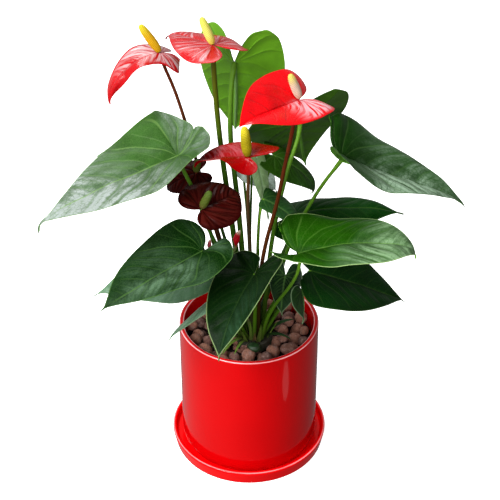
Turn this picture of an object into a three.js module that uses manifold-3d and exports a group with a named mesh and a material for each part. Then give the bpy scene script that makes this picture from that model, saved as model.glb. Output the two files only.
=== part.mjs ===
// Anthurium with red and maroon flowers, in a glazed pot of clay pebbles on a saucer.
// Millimetres, +Z up. The plant faces -Y, so "left" is -X and "back" is +Y.
import * as THREE from 'three';
import { mergeVertices } from 'three/addons/utils/BufferGeometryUtils.js';
import Module from 'manifold-3d';

const manifoldKit = await Module();
manifoldKit.setup();
const { Manifold, Mesh: ManifoldMesh } = manifoldKit;

// ---- driving dimensions ----
const GAP = 0.3; // clearance left between neighbouring solids
const SAUCER_RADIUS = 78; // outside, at the rim
const SAUCER_FOOT_RADIUS = 73;
const SAUCER_HEIGHT = 15.4;
const SAUCER_FLOOR = 6.5; // top of the saucer's floor
const SAUCER_WALL = 3.4;
const POT_RADIUS = 68;
const POT_FOOT_RADIUS = 66;
const POT_RIM_Z = 147;
const POT_WALL = 5;
const POT_FLOOR = 6;
const DRAIN_RADIUS = 7;
const ROUND_STEPS = 36; // facets around the pot and the saucer

const PEBBLE_BED_Z = 129; // top of the packed bed, under the loose top layer
const PEBBLE_RADII = [8.2, 7.2, 8.6, 6.8, 7.8]; // taken in turn around each ring
const PEBBLE_RINGS = [
  { radius: 54, count: 17 },
  { radius: 40, count: 12 },
  { radius: 28.5, count: 8 },
];

const CROWN = { x: 4, y: -8, radius: 20, top: 137 }; // where every stalk leaves the root

const LEAF_THICKNESS = 1.2;
const SPATHE_THICKNESS = 1.3;
const STALK_SIDES = 6;

// Half of a heart-shaped outline: [along the midrib, across]. Across is a fraction of the half
// width. Along is a fraction of the length ahead of the stalk, and of the lobe behind it.
const OUTLINE_SLIM = [
  [0, 0], [-0.52, 0.13], [-0.95, 0.36], [-0.98, 0.66], [-0.5, 0.92], [0.04, 1],
  [0.3, 0.89], [0.54, 0.62], [0.76, 0.29], [0.92, 0.07], [1, 0],
];
const OUTLINE_FULL = [
  [0, 0], [-0.52, 0.13], [-0.95, 0.36], [-0.98, 0.66], [-0.5, 0.92], [0.04, 1],
  [0.3, 0.99], [0.54, 0.84], [0.76, 0.56], [0.92, 0.22], [1, 0],
];

// Each blade: hub is where the stalk meets it. heading is the compass angle of its tip from +X,
// pitch its rise, roll its lean (degrees). droop and curl bend the midrib down along the way and
// at the tip. fold lifts both halves into a V, cup rolls their margins down, ear lifts the halves
// near the stalk and lobe bends the back lobes down. full runs from a slim to a full outline.
const LEAVES = {
  left_broad: {
    hub: [-64, 0, 331], heading: 210, pitch: -3, roll: 7, length: 137, width: 55, back: 39,
    droop: 15, curl: 15, fold: 4, cup: 4, lobe: -55, ear: 22, full: 0.75,
    stalk: { radius: 2.4, via: [[-60, 1, 318], [-54, 2, 305], [-36, 0, 252]] },
  },
  left_back: {
    hub: [-62, 70, 304], heading: 170, pitch: -4, roll: 8, length: 86, width: 26, back: 18,
    droop: 18, curl: 5, fold: 0, cup: 24, lobe: -10, ear: 15, full: 0.8,
    stalk: { radius: 2, via: [[-40, 50, 266], [-18, 20, 205]] },
  },
  left_low: {
    hub: [-43, -36, 252], heading: 222, pitch: -1, roll: 0, length: 112, width: 44, back: 25,
    droop: 10, curl: 4, fold: 20, cup: 28, lobe: -48, ear: 14, full: 0.6,
    stalk: { radius: 2.2, via: [[-20, -24, 200]] },
  },
  left_under: {
    hub: [-54, -8, 211], heading: 199, pitch: 3, roll: -15, length: 92, width: 36, back: 18,
    droop: 16, curl: 6, fold: 6, cup: 28, lobe: -5, ear: 20, full: 0.2,
    stalk: { radius: 2, via: [[-28, -8, 182]] },
  },
  front: {
    hub: [5, -49, 236], heading: 241, pitch: -12, roll: 16, length: 88, width: 33, back: 23,
    droop: 31, curl: 2, fold: 18, cup: 0, lobe: -5, ear: 3, full: 0.7,
    stalk: { radius: 2.2, via: [[6, -32, 196]] },
  },
  right_top: {
    hub: [83, 0, 327], heading: 2, pitch: -19, roll: 1, length: 125, width: 52, back: 32,
    droop: 8, curl: 20, fold: 25, cup: 34, lobe: -39, ear: 18, full: 0.2,
    stalk: { radius: 2.4, via: [[73, 3, 315], [66, 5, 296], [51, 6, 266], [34, 2, 224]] },
  },
  right_broad: {
    hub: [46, -46, 257], heading: -3, pitch: 22, roll: 1, length: 110, width: 41, back: 27,
    droop: 34, curl: 55, fold: 14, cup: 20, lobe: -25, ear: 30, full: 1.1,
    stalk: { radius: 2.8, via: [[42, -43, 225], [36, -40, 213], [19, -28, 180]] },
  },
  right_behind: {
    hub: [44, 42, 242], heading: -2, pitch: 17, roll: 1, length: 103, width: 34, back: 22,
    droop: 30, curl: 0, fold: 0, cup: 30, lobe: -10, ear: 0, full: 0.6,
    stalk: { radius: 2, via: [[28, 24, 195]] },
  },
  right_low: {
    hub: [58, -10, 212], heading: 10, pitch: -23, roll: 20, length: 106, width: 42, back: 18,
    droop: 10, curl: 2, fold: 14, cup: 20, lobe: -8, ear: 0, full: 0.5,
    stalk: { radius: 2.2, via: [[36, -12, 182]] },
  },
  back_high: {
    hub: [-13, 50, 399], heading: 86, pitch: -50, roll: 10, length: 110, width: 46, back: 34,
    droop: 26, curl: 4, fold: 22, cup: 0, lobe: -22, ear: 16, full: 1,
    stalk: { radius: 2.6, via: [[-17, 36, 358], [-17, 32, 329], [-12, 26, 285], [-6, 12, 225]] },
  },
  back_right: {
    hub: [47, 36, 346], heading: 88, pitch: -46, roll: -22, length: 92, width: 51, back: 31,
    droop: 16, curl: 16, fold: 10, cup: 4, lobe: -16, ear: 0, full: 0.2,
    stalk: { radius: 2.6, via: [[41, 22, 327], [34, 10, 306], [22, 2, 246]] },
  },
  middle_right: {
    hub: [24, 31, 313], heading: 0, pitch: -24, roll: 12, length: 68, width: 22, back: 12,
    droop: 46, curl: 50, fold: 5, cup: 38, lobe: -10, ear: 5, full: 0.6,
    stalk: { radius: 1.9, via: [[11, 22, 270]] },
  },
  middle_back: {
    hub: [-6, 46, 297], heading: 92, pitch: -60, roll: 0, length: 46, width: 21, back: 14,
    droop: 10, curl: 10, fold: 5, cup: 5, lobe: -10, ear: 5, full: 0.6,
    stalk: { radius: 1.7, via: [[-2, 34, 250]] },
  },
  middle_small: {
    hub: [13, -8, 291], heading: -6, pitch: -6, roll: 24, length: 34, width: 13, back: 3,
    droop: 52, curl: 18, fold: 4, cup: 40, lobe: -10, ear: 0, full: 0.5,
    stalk: { radius: 1.4, via: [[6, -8, 280], [9, -9, 247]] },
  },
  low_left: {
    hub: [-24, -50, 216], heading: 206, pitch: -23, roll: 30, length: 63, width: 17, back: 10,
    droop: 14, curl: 0, fold: 2, cup: 26, lobe: -10, ear: 0, full: 0.7,
    stalk: { radius: 1.5, via: [[-14, -36, 180]] },
  },
  low_front: {
    hub: [35, -20, 211], heading: -105, pitch: -58, roll: 12, length: 44, width: 10, back: 5,
    droop: 20, curl: 8, fold: 5, cup: 25, lobe: -10, ear: 0, full: 0.4,
    stalk: { radius: 1.5, via: [[22, -19, 180]] },
  },
  low_right: {
    hub: [49, -30, 201], heading: -20, pitch: -66, roll: 10, length: 42, width: 13, back: 5,
    droop: 15, curl: 0, fold: 0, cup: 18, lobe: -10, ear: 0, full: 0.3,
    stalk: { radius: 1.6, via: [[30, -24, 180]] },
  },
};

// Each flower has a coloured collar, drawn like a blade, its stalk, and the spike on the collar.
const FLOWERS = {
  top_left: {
    hub: [-78, 25, 421], heading: 191, pitch: 2, roll: 0, length: 72, width: 25, back: 19,
    droop: 88, curl: 5, fold: 0, cup: 4, lobe: 30, ear: -3, full: 0.3, colour: 'red',
    stalk: { radius: 2.1, via: [[-72, 30, 400], [-66, 37, 376], [-55, 44, 328], [-41, 38, 266], [-26, 22, 222]] },
    spike: { length: 30, radius: 4, axis: [-0.54, 0, 0.85] },
  },
  top_middle: {
    hub: [-31, 8, 437], heading: 135, pitch: -3, roll: 3, length: 63, width: 30, back: 24,
    droop: 12, curl: 42, fold: 3, cup: 23, lobe: 0, ear: -5, full: -0.1, colour: 'red',
    stalk: { radius: 2.1, via: [[-29, 12, 381], [-26, 15, 339], [-21, 15, 292], [-14, 8, 236]] },
    spike: { length: 26, radius: 3.8, axis: [-0.36, 0.05, 0.92] },
  },
  right: {
    hub: [42, -30, 404], heading: 230, pitch: 8, roll: -23, length: 75, width: 31, back: 24,
    droop: 0, curl: 43, fold: 30, cup: 28, lobe: 33, ear: 1, full: 1.1, colour: 'red',
    stalk: { radius: 2.3, via: [[39, -30, 380], [33, -30, 350], [25, -29, 298], [16, -28, 259], [11, -24, 217]] },
    spike: { length: 24, radius: 3.9, axis: [-0.36, 0, 0.93] },
  },
  middle: {
    hub: [-1, -40, 354], heading: 155, pitch: -12, roll: 8, length: 56, width: 27, back: 26,
    droop: 15, curl: 35, fold: 20, cup: 26, lobe: 40, ear: -12, full: 0.8, colour: 'red',
    stalk: { radius: 2.1, via: [[-1, -34, 303], [1, -20, 250]] },
    spike: { length: 29, radius: 4.5, axis: [-0.1, 0, 1] },
  },
  low: {
    hub: [-42, -36, 298], heading: 55, pitch: -2, roll: 20, length: 48, width: 29, back: 15,
    droop: 22, curl: 8, fold: 1, cup: 22, lobe: -11, ear: 6, full: 0.9, colour: 'maroon',
    stalk: { radius: 2, via: [[-32, -22, 258]] },
    spike: { length: 18, radius: 3.7, axis: [0.45, 0.2, 0.87] },
  },
  low_back: {
    hub: [-49, 18, 303], heading: 196, pitch: -10, roll: -31, length: 40, width: 18, back: 13,
    droop: 60, curl: 30, fold: 4, cup: 40, lobe: -5, ear: 0, full: 0.9, colour: 'maroon',
    stalk: { radius: 1.8, via: [[-36, 12, 262]] },
    spike: { length: 13, radius: 3.4, axis: [0.2, 0.1, 0.95] },
  },
};

// Flowers still rolled shut: a slim spindle on top of its own stalk.
const BUDS = {
  red: { foot: [-12, -20, 247], tip: [-6, -23, 265], radius: 3, stalkRadius: 1.3 },
  pink: { foot: [-36, -14, 238], tip: [-35, -15, 252], radius: 2.1, stalkRadius: 1.1 },
};

// Sheaths left standing around the foot of the stalks: [bearing, height, lean outwards].
const SHEATHS = [
  [-115, 22, 0.3],
  [-72, 30, 0.35],
  [-28, 26, 0.42],
  [50, 20, 0.35],
];

// ---- surfaces and finishes ----
const FINISH = {
  glaze: { color: '#c4000e', roughness: 0.15, metalness: 0 },
  clay: { color: '#6d4a40', roughness: 0.9, metalness: 0 },
  crown: { color: '#4a5a2a', roughness: 0.7, metalness: 0 },
  leaf: { color: '#2c5a2c', roughness: 0.4, metalness: 0 },
  leafPale: { color: '#5c8a4a', roughness: 0.5, metalness: 0 },
  stalk: { color: '#6f8f3a', roughness: 0.5, metalness: 0 },
  flowerStalk: { color: '#6e3a2c', roughness: 0.5, metalness: 0 },
  red: { color: '#d0121c', roughness: 0.25, metalness: 0 },
  maroon: { color: '#4a0f16', roughness: 0.3, metalness: 0 },
  spike: { color: '#e2d468', roughness: 0.6, metalness: 0 },
  spikeGreen: { color: '#5c7a35', roughness: 0.6, metalness: 0 },
};

const plant = new THREE.Group();
plant.name = 'potted_anthurium';

const radians = THREE.MathUtils.degToRad;

function signedVolume(geometry) {
  const p = geometry.getAttribute('position');
  const index = geometry.getIndex();
  const [a, b, c] = [new THREE.Vector3(), new THREE.Vector3(), new THREE.Vector3()];
  let sum = 0;
  for (let i = 0; i < index.count; i += 3) {
    a.fromBufferAttribute(p, index.getX(i));
    b.fromBufferAttribute(p, index.getX(i + 1));
    c.fromBufferAttribute(p, index.getX(i + 2));
    sum += a.dot(b.cross(c));
  }
  return sum / 6;
}

// Weld the corners, drop slivers that welded flat, and turn the faces outwards.
function weld(geometry) {
  const bare = new THREE.BufferGeometry();
  bare.setAttribute('position', geometry.getAttribute('position'));
  bare.setIndex(geometry.getIndex());
  const welded = mergeVertices(bare, 2e-3);
  const old = welded.getIndex();
  const kept = [];
  for (let i = 0; i < old.count; i += 3) {
    const [a, b, c] = [old.getX(i), old.getX(i + 1), old.getX(i + 2)];
    if (a !== b && b !== c && c !== a) {
      kept.push(a, b, c);
    }
  }
  welded.setIndex(kept);
  if (signedVolume(welded) < 0) {
    for (let i = 0; i < kept.length; i += 3) {
      [kept[i + 1], kept[i + 2]] = [kept[i + 2], kept[i + 1]];
    }
    welded.setIndex(kept);
  }
  return welded;
}

function addPiece(name, geometry, finish) {
  const mesh = new THREE.Mesh(weld(geometry), new THREE.MeshStandardMaterial(FINISH[finish]));
  mesh.name = name;
  plant.add(mesh);
}

function toManifold(geometry) {
  const welded = weld(geometry);
  return new Manifold(new ManifoldMesh({
    numProp: 3,
    vertProperties: new Float32Array(welded.getAttribute('position').array),
    triVerts: new Uint32Array(welded.getIndex().array),
  }));
}

function fromManifold(solid) {
  const mesh = solid.getMesh();
  const geometry = new THREE.BufferGeometry();
  const points = [];
  for (let i = 0; i < mesh.numVert; i += 1) {
    const at = i * mesh.numProp;
    points.push(...mesh.vertProperties.slice(at, at + 3));
  }
  geometry.setAttribute('position', new THREE.Float32BufferAttribute(points, 3));
  geometry.setIndex(Array.from(mesh.triVerts));
  return geometry;
}

// A turned body about +Z from [radius, height] pairs.
function turned(profile, steps) {
  const points = profile.map(([r, z]) => new THREE.Vector2(r, z));
  return new THREE.LatheGeometry(points, steps).rotateX(Math.PI / 2);
}

// ---- the pot and its saucer ----
function saucerProfile() {
  const innerFoot = SAUCER_FOOT_RADIUS - 1.2;
  const innerRim = SAUCER_RADIUS - SAUCER_WALL;
  return [
    [0, 0],
    [SAUCER_FOOT_RADIUS - 1.5, 0],
    [SAUCER_FOOT_RADIUS, 1.2],
    [SAUCER_RADIUS, SAUCER_HEIGHT - 1.8],
    [SAUCER_RADIUS - 0.5, SAUCER_HEIGHT - 0.5],
    [SAUCER_RADIUS - SAUCER_WALL / 2, SAUCER_HEIGHT],
    [innerRim + 0.5, SAUCER_HEIGHT - 0.5],
    [innerRim, SAUCER_HEIGHT - 1.8],
    [innerFoot, SAUCER_FLOOR + 1.2],
    [innerFoot - 1.5, SAUCER_FLOOR],
    [0, SAUCER_FLOOR],
  ];
}

function potProfile() {
  const foot = SAUCER_FLOOR + GAP;
  const inner = POT_RADIUS - POT_WALL;
  return [
    [DRAIN_RADIUS, foot],
    [POT_FOOT_RADIUS - 2, foot],
    [POT_FOOT_RADIUS, foot + 2],
    [POT_RADIUS, foot + 8],
    [POT_RADIUS, POT_RIM_Z - 3],
    [POT_RADIUS - 0.8, POT_RIM_Z - 0.9],
    [POT_RADIUS - POT_WALL / 2, POT_RIM_Z],
    [inner + 0.8, POT_RIM_Z - 0.9],
    [inner, POT_RIM_Z - 3],
    [inner, foot + POT_FLOOR + 3],
    [inner - 3, foot + POT_FLOOR],
    [DRAIN_RADIUS, foot + POT_FLOOR],
    [DRAIN_RADIUS, foot],
  ];
}

addPiece('saucer', turned(saucerProfile(), ROUND_STEPS), 'glaze');
addPiece('pot', turned(potProfile(), ROUND_STEPS), 'glaze');

// ---- the bed of clay pebbles, one body with its bumpy top layer ----
function pebbleBed() {
  const foot = SAUCER_FLOOR + POT_FLOOR + 2 * GAP;
  const radius = POT_RADIUS - POT_WALL - GAP;
  let bed = toManifold(turned([
    [0, foot],
    [radius - 4, foot],
    [radius, foot + 4],
    [radius, PEBBLE_BED_Z],
    [0, PEBBLE_BED_Z],
  ], ROUND_STEPS));
  let number = 0;
  for (const ring of PEBBLE_RINGS) {
    for (let i = 0; i < ring.count; i += 1) {
      const size = PEBBLE_RADII[number % PEBBLE_RADII.length];
      const angle = (i + number * 0.07) * 2 * Math.PI / ring.count;
      const reach = Math.min(ring.radius, radius - size - 0.2);
      const ball = new THREE.IcosahedronGeometry(size, 1)
        .rotateZ(number)
        .rotateX(number * 0.6)
        .translate(reach * Math.cos(angle), reach * Math.sin(angle), PEBBLE_BED_Z + 0.35 * size);
      bed = bed.add(toManifold(ball));
      number += 1;
    }
  }
  const well = Manifold.cylinder(30, CROWN.radius + GAP, CROWN.radius + GAP, 20)
    .translate([CROWN.x, CROWN.y, PEBBLE_BED_Z - 3]);
  return fromManifold(bed.subtract(well));
}

addPiece('clay_pebbles', pebbleBed(), 'clay');

// ---- the crown: a low stump with the old sheaths standing on its edge ----
function crown() {
  const foot = PEBBLE_BED_Z - 3 + GAP;
  let stump = toManifold(turned([
    [0, foot],
    [CROWN.radius - 2, foot],
    [CROWN.radius, foot + 2],
    [CROWN.radius, CROWN.top - 2],
    [CROWN.radius - 2, CROWN.top],
    [0, CROWN.top],
  ], 20));
  for (const [bearing, height, lean] of SHEATHS) {
    const out = new THREE.Vector3(Math.cos(radians(bearing)), Math.sin(radians(bearing)), 0);
    const axis = out.clone().multiplyScalar(lean).add(new THREE.Vector3(0, 0, 1)).normalize();
    const turn = new THREE.Quaternion().setFromUnitVectors(new THREE.Vector3(0, 1, 0), axis);
    const sheath = new THREE.CylinderGeometry(0.6, 2.4, height, 6)
      .translate(0, height / 2, 0)
      .applyQuaternion(turn)
      .translate(...out.multiplyScalar(CROWN.radius - 5).toArray())
      .translate(0, 0, CROWN.top - 4);
    stump = stump.add(toManifold(sheath));
  }
  return fromManifold(stump).translate(CROWN.x, CROWN.y, 0);
}

addPiece('crown', crown(), 'crown');

// ---- blades ----
function halfOutline(leaf, steps) {
  const mixed = OUTLINE_SLIM.map((slim, i) => {
    const mix = (k) => THREE.MathUtils.lerp(slim[k], OUTLINE_FULL[i][k], leaf.full);
    const along = mix(0);
    return new THREE.Vector3(along * (along < 0 ? leaf.back : leaf.length), mix(1) * leaf.width, 0);
  });
  return new THREE.CatmullRomCurve3(mixed, false, 'centripetal').getSpacedPoints(steps);
}

// Position and slope of the bent midrib, in its own upright plane, at a distance along it.
function midribAt(leaf, along) {
  const slope = (a) => {
    const u = a / leaf.length;
    const tip = THREE.MathUtils.clamp((u - 0.72) / 0.28, 0, 1.2);
    return a < 0
      ? radians(leaf.lobe) * (-a / leaf.back)
      : -radians(leaf.droop) * u - radians(leaf.curl) * tip * tip;
  };
  const steps = 24;
  let [x, z] = [0, 0];
  for (let i = 0; i < steps; i += 1) {
    const middle = slope(along * (i + 0.5) / steps);
    x += Math.cos(middle) * along / steps;
    z += Math.sin(middle) * along / steps;
  }
  return { x, z, angle: slope(along) };
}

// The three axes of a blade: along its midrib, across to its left, and up out of its face.
function bladeAxes(leaf) {
  const [h, p, r] = [leaf.heading, leaf.pitch, leaf.roll].map(radians);
  const cosines = [Math.cos(p) * Math.cos(h), Math.cos(p) * Math.sin(h), Math.sin(p)];
  const along = new THREE.Vector3(...cosines);
  const level = new THREE.Vector3(-Math.sin(h), Math.cos(h), 0);
  const raised = along.clone().cross(level);
  const across = level.multiplyScalar(Math.cos(r)).addScaledVector(raised, Math.sin(r));
  return [along, across, along.clone().cross(across)];
}

// Where a point of the flat blade lands on the bent one, and the way its face looks there.
function onBlade(leaf, axes, along, across) {
  const rib = midribAt(leaf, along);
  const reach = 0.35 * leaf.length + 0.5 * leaf.back;
  const near = THREE.MathUtils.smoothstep((0.35 * leaf.length - along) / reach, 0, 1);
  const fold = radians(leaf.fold) + radians(leaf.ear) * near;
  const rollDown = (Math.abs(leaf.cup) < 0.01 ? 0.01 : radians(leaf.cup)) / leaf.width;
  const side = Math.abs(across) < 1e-6 ? 0 : Math.sign(across);
  const end = fold - rollDown * Math.abs(across);
  const out = side * (Math.sin(fold) - Math.sin(end)) / rollDown;
  const up = (Math.cos(end) - Math.cos(fold)) / rollDown;
  const [sine, cosine] = [Math.sin(rib.angle), Math.cos(rib.angle)];
  const place = (a, b, c) => new THREE.Vector3()
    .addScaledVector(axes[0], a)
    .addScaledVector(axes[1], b)
    .addScaledVector(axes[2], c);
  const point = place(rib.x - sine * up, out, rib.z + cosine * up);
  const face = place(-sine * Math.cos(end), -side * Math.sin(end), cosine * Math.cos(end));
  return { point: point.add(new THREE.Vector3(...leaf.hub)), face: face.normalize() };
}

// A thin closed shell: rows run from the midrib out to the margin, on both halves and faces.
function bladeGeometry(leaf, thickness, margins, rows) {
  const axes = bladeAxes(leaf);
  const outline = halfOutline(leaf, margins);
  const points = [];
  const triangles = [];
  const grids = {};
  for (const side of [1, -1]) {
    grids[side] = outline.map((edge) => {
      const start = Math.max(0, edge.x - 0.5 * edge.y);
      const row = [];
      for (let j = 0; j <= rows; j += 1) {
        const t = j / rows;
        const along = start + (edge.x - start) * t;
        const { point, face } = onBlade(leaf, axes, along, side * edge.y * t);
        row.push(points.length / 3);
        for (const lift of [thickness / 2, -thickness / 2]) {
          points.push(...point.clone().addScaledVector(face, lift).toArray());
        }
      }
      return row;
    });
  }
  const quad = (a, b, c, d) => triangles.push(a, b, c, a, c, d);
  for (const side of [1, -1]) {
    const grid = grids[side];
    for (let i = 0; i < margins; i += 1) {
      for (let j = 0; j < rows; j += 1) {
        const corners = [grid[i][j], grid[i + 1][j], grid[i + 1][j + 1], grid[i][j + 1]];
        const under = corners.map((corner) => corner + 1);
        if (side < 0) {
          corners.reverse();
        } else {
          under.reverse();
        }
        quad(...corners);
        quad(...under);
      }
      const [near, far] = [grid[i][rows], grid[i + 1][rows]];
      if (side < 0) {
        quad(near, near + 1, far + 1, far);
      } else {
        quad(far, far + 1, near + 1, near);
      }
    }
  }
  const geometry = new THREE.BufferGeometry();
  geometry.setAttribute('position', new THREE.Float32BufferAttribute(points, 3));
  geometry.setIndex(triangles);
  return geometry;
}

// ---- stalks: round rods from the top of the crown to the underside of a blade ----
// They start crowded together, so at every level they are nudged apart until each has its own
// room, and every nudge is spread along the stalk to keep it smooth.
const LEVEL_STEP = 14;
const STALK_ROOM = 0.6; // clear space between two stalks
const SLANT_ALLOWANCE = 1.2; // a leaning stalk is wider across a level than its diameter
const stalks = [];

function planStalk(name, radius, via, end, face, finish) {
  const below = end.clone().addScaledVector(face, -9);
  const first = new THREE.Vector3(
    CROWN.x + 0.17 * (end.x - CROWN.x),
    CROWN.y + 0.17 * (end.y - CROWN.y),
    CROWN.top + GAP,
  );
  const rough = new THREE.CatmullRomCurve3([
    first,
    ...via.map((corner) => new THREE.Vector3(...corner)).reverse(),
    below,
  ], false, 'centripetal').getPoints(120);
  const levels = [];
  for (let z = first.z; z < below.z - 5; z += LEVEL_STEP) {
    const next = Math.max(1, rough.findIndex((point) => point.z >= z));
    const [a, b] = [rough[next - 1], rough[next]];
    const share = THREE.MathUtils.clamp((z - a.z) / (b.z - a.z || 1), 0, 1);
    levels.push(a.clone().lerp(b, share).setZ(z));
  }
  const nudges = levels.map(() => new THREE.Vector2());
  stalks.push({ name, radius, levels, nudges, below, end, face, finish });
}

function nudgeApart() {
  const tallest = Math.max(...stalks.map((stalk) => stalk.levels.length));
  for (let level = 0; level < tallest; level += 1) {
    const present = stalks.filter((stalk) => stalk.levels.length > level);
    present.forEach((one, i) => {
      for (const other of present.slice(i + 1)) {
        const between = new THREE.Vector2(
          other.levels[level].x + other.nudges[level].x - one.levels[level].x - one.nudges[level].x,
          other.levels[level].y + other.nudges[level].y - one.levels[level].y - one.nudges[level].y,
        );
        const room = SLANT_ALLOWANCE * (one.radius + other.radius) + STALK_ROOM;
        const distance = between.length();
        if (distance < room) {
          between.multiplyScalar((room - distance) / (2 * Math.max(distance, 0.01)));
          one.nudges[level].sub(between);
          other.nudges[level].add(between);
        }
      }
    });
  }
}

function smoothNudges() {
  for (const { nudges } of stalks) {
    const old = nudges.map((nudge) => nudge.clone());
    for (let i = 1; i < nudges.length - 1; i += 1) {
      nudges[i].multiplyScalar(0.5).addScaledVector(old[i - 1], 0.25).addScaledVector(old[i + 1], 0.25);
    }
  }
}

function stalkGeometry(stalk) {
  const points = stalk.levels.map((level, i) => new THREE.Vector3(
    level.x + stalk.nudges[i].x,
    level.y + stalk.nudges[i].y,
    level.z,
  ));
  points.push(stalk.below, stalk.end.clone().addScaledVector(stalk.face, -3), stalk.end);
  const foot = points[0].clone();
  points.splice(1, 0, foot.setZ(foot.z + 3));
  const path = new THREE.CatmullRomCurve3(points, false, 'centripetal');
  const ring = [];
  for (let i = 0; i < STALK_SIDES; i += 1) {
    const angle = i * 2 * Math.PI / STALK_SIDES;
    ring.push(new THREE.Vector2(stalk.radius * Math.cos(angle), stalk.radius * Math.sin(angle)));
  }
  const steps = points.length - 1;
  return new THREE.ExtrudeGeometry(new THREE.Shape(ring), { steps, extrudePath: path });
}

function planStalkTo(name, leaf, thickness, finish) {
  const { point, face } = onBlade(leaf, bladeAxes(leaf), 0, 0);
  const end = point.addScaledVector(face, -(thickness / 2 + GAP));
  planStalk(name, leaf.stalk.radius, leaf.stalk.via, end, face, finish);
}

// ---- the spike that stands on each flower's collar ----
function spikeGeometry(flower) {
  const { length, radius, axis } = flower.spike;
  const profile = [
    [0, 0], [radius * 0.45, 0.1], [radius * 0.8, length * 0.1], [radius, length * 0.3],
    [radius * 0.95, length * 0.6], [radius * 0.78, length * 0.85],
    [radius * 0.45, length * 0.97], [0, length],
  ];
  const up = new THREE.Vector3(...axis).normalize();
  const turn = new THREE.Quaternion().setFromUnitVectors(new THREE.Vector3(0, 0, 1), up);
  const { point, face } = onBlade(flower, bladeAxes(flower), 0, 0);
  const tilt = Math.acos(THREE.MathUtils.clamp(up.dot(face), -1, 1));
  const valley = Math.max(0, radians(flower.fold + flower.ear)); // the halves rise beside it
  const seat = radius * 0.45 * (Math.sin(tilt) + Math.tan(valley));
  const lift = SPATHE_THICKNESS / 2 + GAP + seat;
  return turned(profile, 10)
    .applyQuaternion(turn)
    .translate(...point.addScaledVector(face, lift).toArray());
}

const BROAD_LEAF = 105; // blades longer than this get a finer net
const leafNames = Object.keys(LEAVES);
const PALE_LEAVES = ['left_under', 'back_high', 'back_right', 'middle_back', 'low_left'];

for (const name of leafNames) {
  const leaf = LEAVES[name];
  const [margins, rows] = leaf.length > BROAD_LEAF ? [15, 3] : [13, 2];
  const finish = PALE_LEAVES.includes(name) ? 'leafPale' : 'leaf';
  addPiece(`leaf_${name}`, bladeGeometry(leaf, LEAF_THICKNESS, margins, rows), finish);
}
for (const name of Object.keys(FLOWERS)) {
  const flower = FLOWERS[name];
  const collar = bladeGeometry(flower, SPATHE_THICKNESS, 14, 2);
  addPiece(`flower_${name}_collar`, collar, flower.colour);
  const spikeFinish = flower.colour === 'maroon' ? 'spikeGreen' : 'spike';
  addPiece(`flower_${name}_spike`, spikeGeometry(flower), spikeFinish);
}
for (const name of Object.keys(FLOWERS)) {
  planStalkTo(`flower_${name}_stalk`, FLOWERS[name], SPATHE_THICKNESS, 'flowerStalk');
}
for (const name of leafNames) {
  planStalkTo(`stalk_${name}`, LEAVES[name], LEAF_THICKNESS, 'stalk');
}
for (const name of Object.keys(BUDS)) {
  const bud = BUDS[name];
  const foot = new THREE.Vector3(...bud.foot);
  const axis = new THREE.Vector3(...bud.tip).sub(foot).normalize();
  const end = foot.clone().addScaledVector(axis, 2);
  planStalk(`flower_bud_${name}`, bud.stalkRadius, [], end, axis, 'red');
}
for (let round = 0; round < 60; round += 1) {
  nudgeApart();
  smoothNudges();
}
for (let round = 0; round < 20; round += 1) {
  nudgeApart();
}

// A flower still rolled shut is one body with its stalk.
function budSpindle(bud) {
  const foot = new THREE.Vector3(...bud.foot);
  const axis = new THREE.Vector3(...bud.tip).sub(foot);
  const length = axis.length();
  const turn = new THREE.Quaternion()
    .setFromUnitVectors(new THREE.Vector3(0, 0, 1), axis.normalize());
  return turned([
    [0, 0], [bud.radius * 0.6, length * 0.12], [bud.radius, length * 0.4],
    [bud.radius * 0.7, length * 0.75], [0, length],
  ], 8).applyQuaternion(turn).translate(...bud.foot);
}

for (const stalk of stalks) {
  const budName = stalk.name.replace('flower_bud_', '');
  let geometry = stalkGeometry(stalk);
  if (BUDS[budName]) {
    geometry = fromManifold(toManifold(budSpindle(BUDS[budName])).add(toManifold(geometry)));
  }
  addPiece(stalk.name, geometry, stalk.finish);
}

export default plant;
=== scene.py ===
import math

import bmesh
import bpy
import numpy as np
from mathutils import Matrix, Vector, noise


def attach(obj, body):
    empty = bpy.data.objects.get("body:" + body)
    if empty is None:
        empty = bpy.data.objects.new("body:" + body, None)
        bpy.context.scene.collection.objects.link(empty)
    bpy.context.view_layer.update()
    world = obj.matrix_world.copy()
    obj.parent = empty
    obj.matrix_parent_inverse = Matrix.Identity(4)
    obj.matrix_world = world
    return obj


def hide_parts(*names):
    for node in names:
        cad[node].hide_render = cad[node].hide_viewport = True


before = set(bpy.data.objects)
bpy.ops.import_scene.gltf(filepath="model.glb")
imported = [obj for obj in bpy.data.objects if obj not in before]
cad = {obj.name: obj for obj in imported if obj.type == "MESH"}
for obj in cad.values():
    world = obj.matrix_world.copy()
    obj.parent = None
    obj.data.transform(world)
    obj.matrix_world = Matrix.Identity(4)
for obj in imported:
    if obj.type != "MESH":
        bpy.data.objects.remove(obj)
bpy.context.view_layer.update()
mm = 0.001
print("frame loaded:", len(cad), "nodes")


# camera, first, so that it can be moved while the rest is still missing
view = {
    "position": (1, -1027.7, 940.6),  # mm
    "lookAt": (1, 0, 229),
    "lens": 95.8,
    "sensor": 36,
}

cameraData = bpy.data.cameras.new("view")
cameraData.lens = view["lens"]
cameraData.sensor_width = view["sensor"]
camera = bpy.data.objects.new("view", cameraData)
bpy.context.scene.collection.objects.link(camera)
camera.location = Vector(view["position"]) * mm
sight = Vector(view["lookAt"]) - Vector(view["position"])
camera.rotation_euler = sight.to_track_quat("-Z", "Y").to_euler()
bpy.context.scene.camera = camera


# small helpers
def smoothStep(x, low, high):
    t = np.clip((x - low) / (high - low), 0, 1)
    return t * t * (3 - 2 * t)


def unit(v):
    return np.asarray(v, float) / np.linalg.norm(v)


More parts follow.
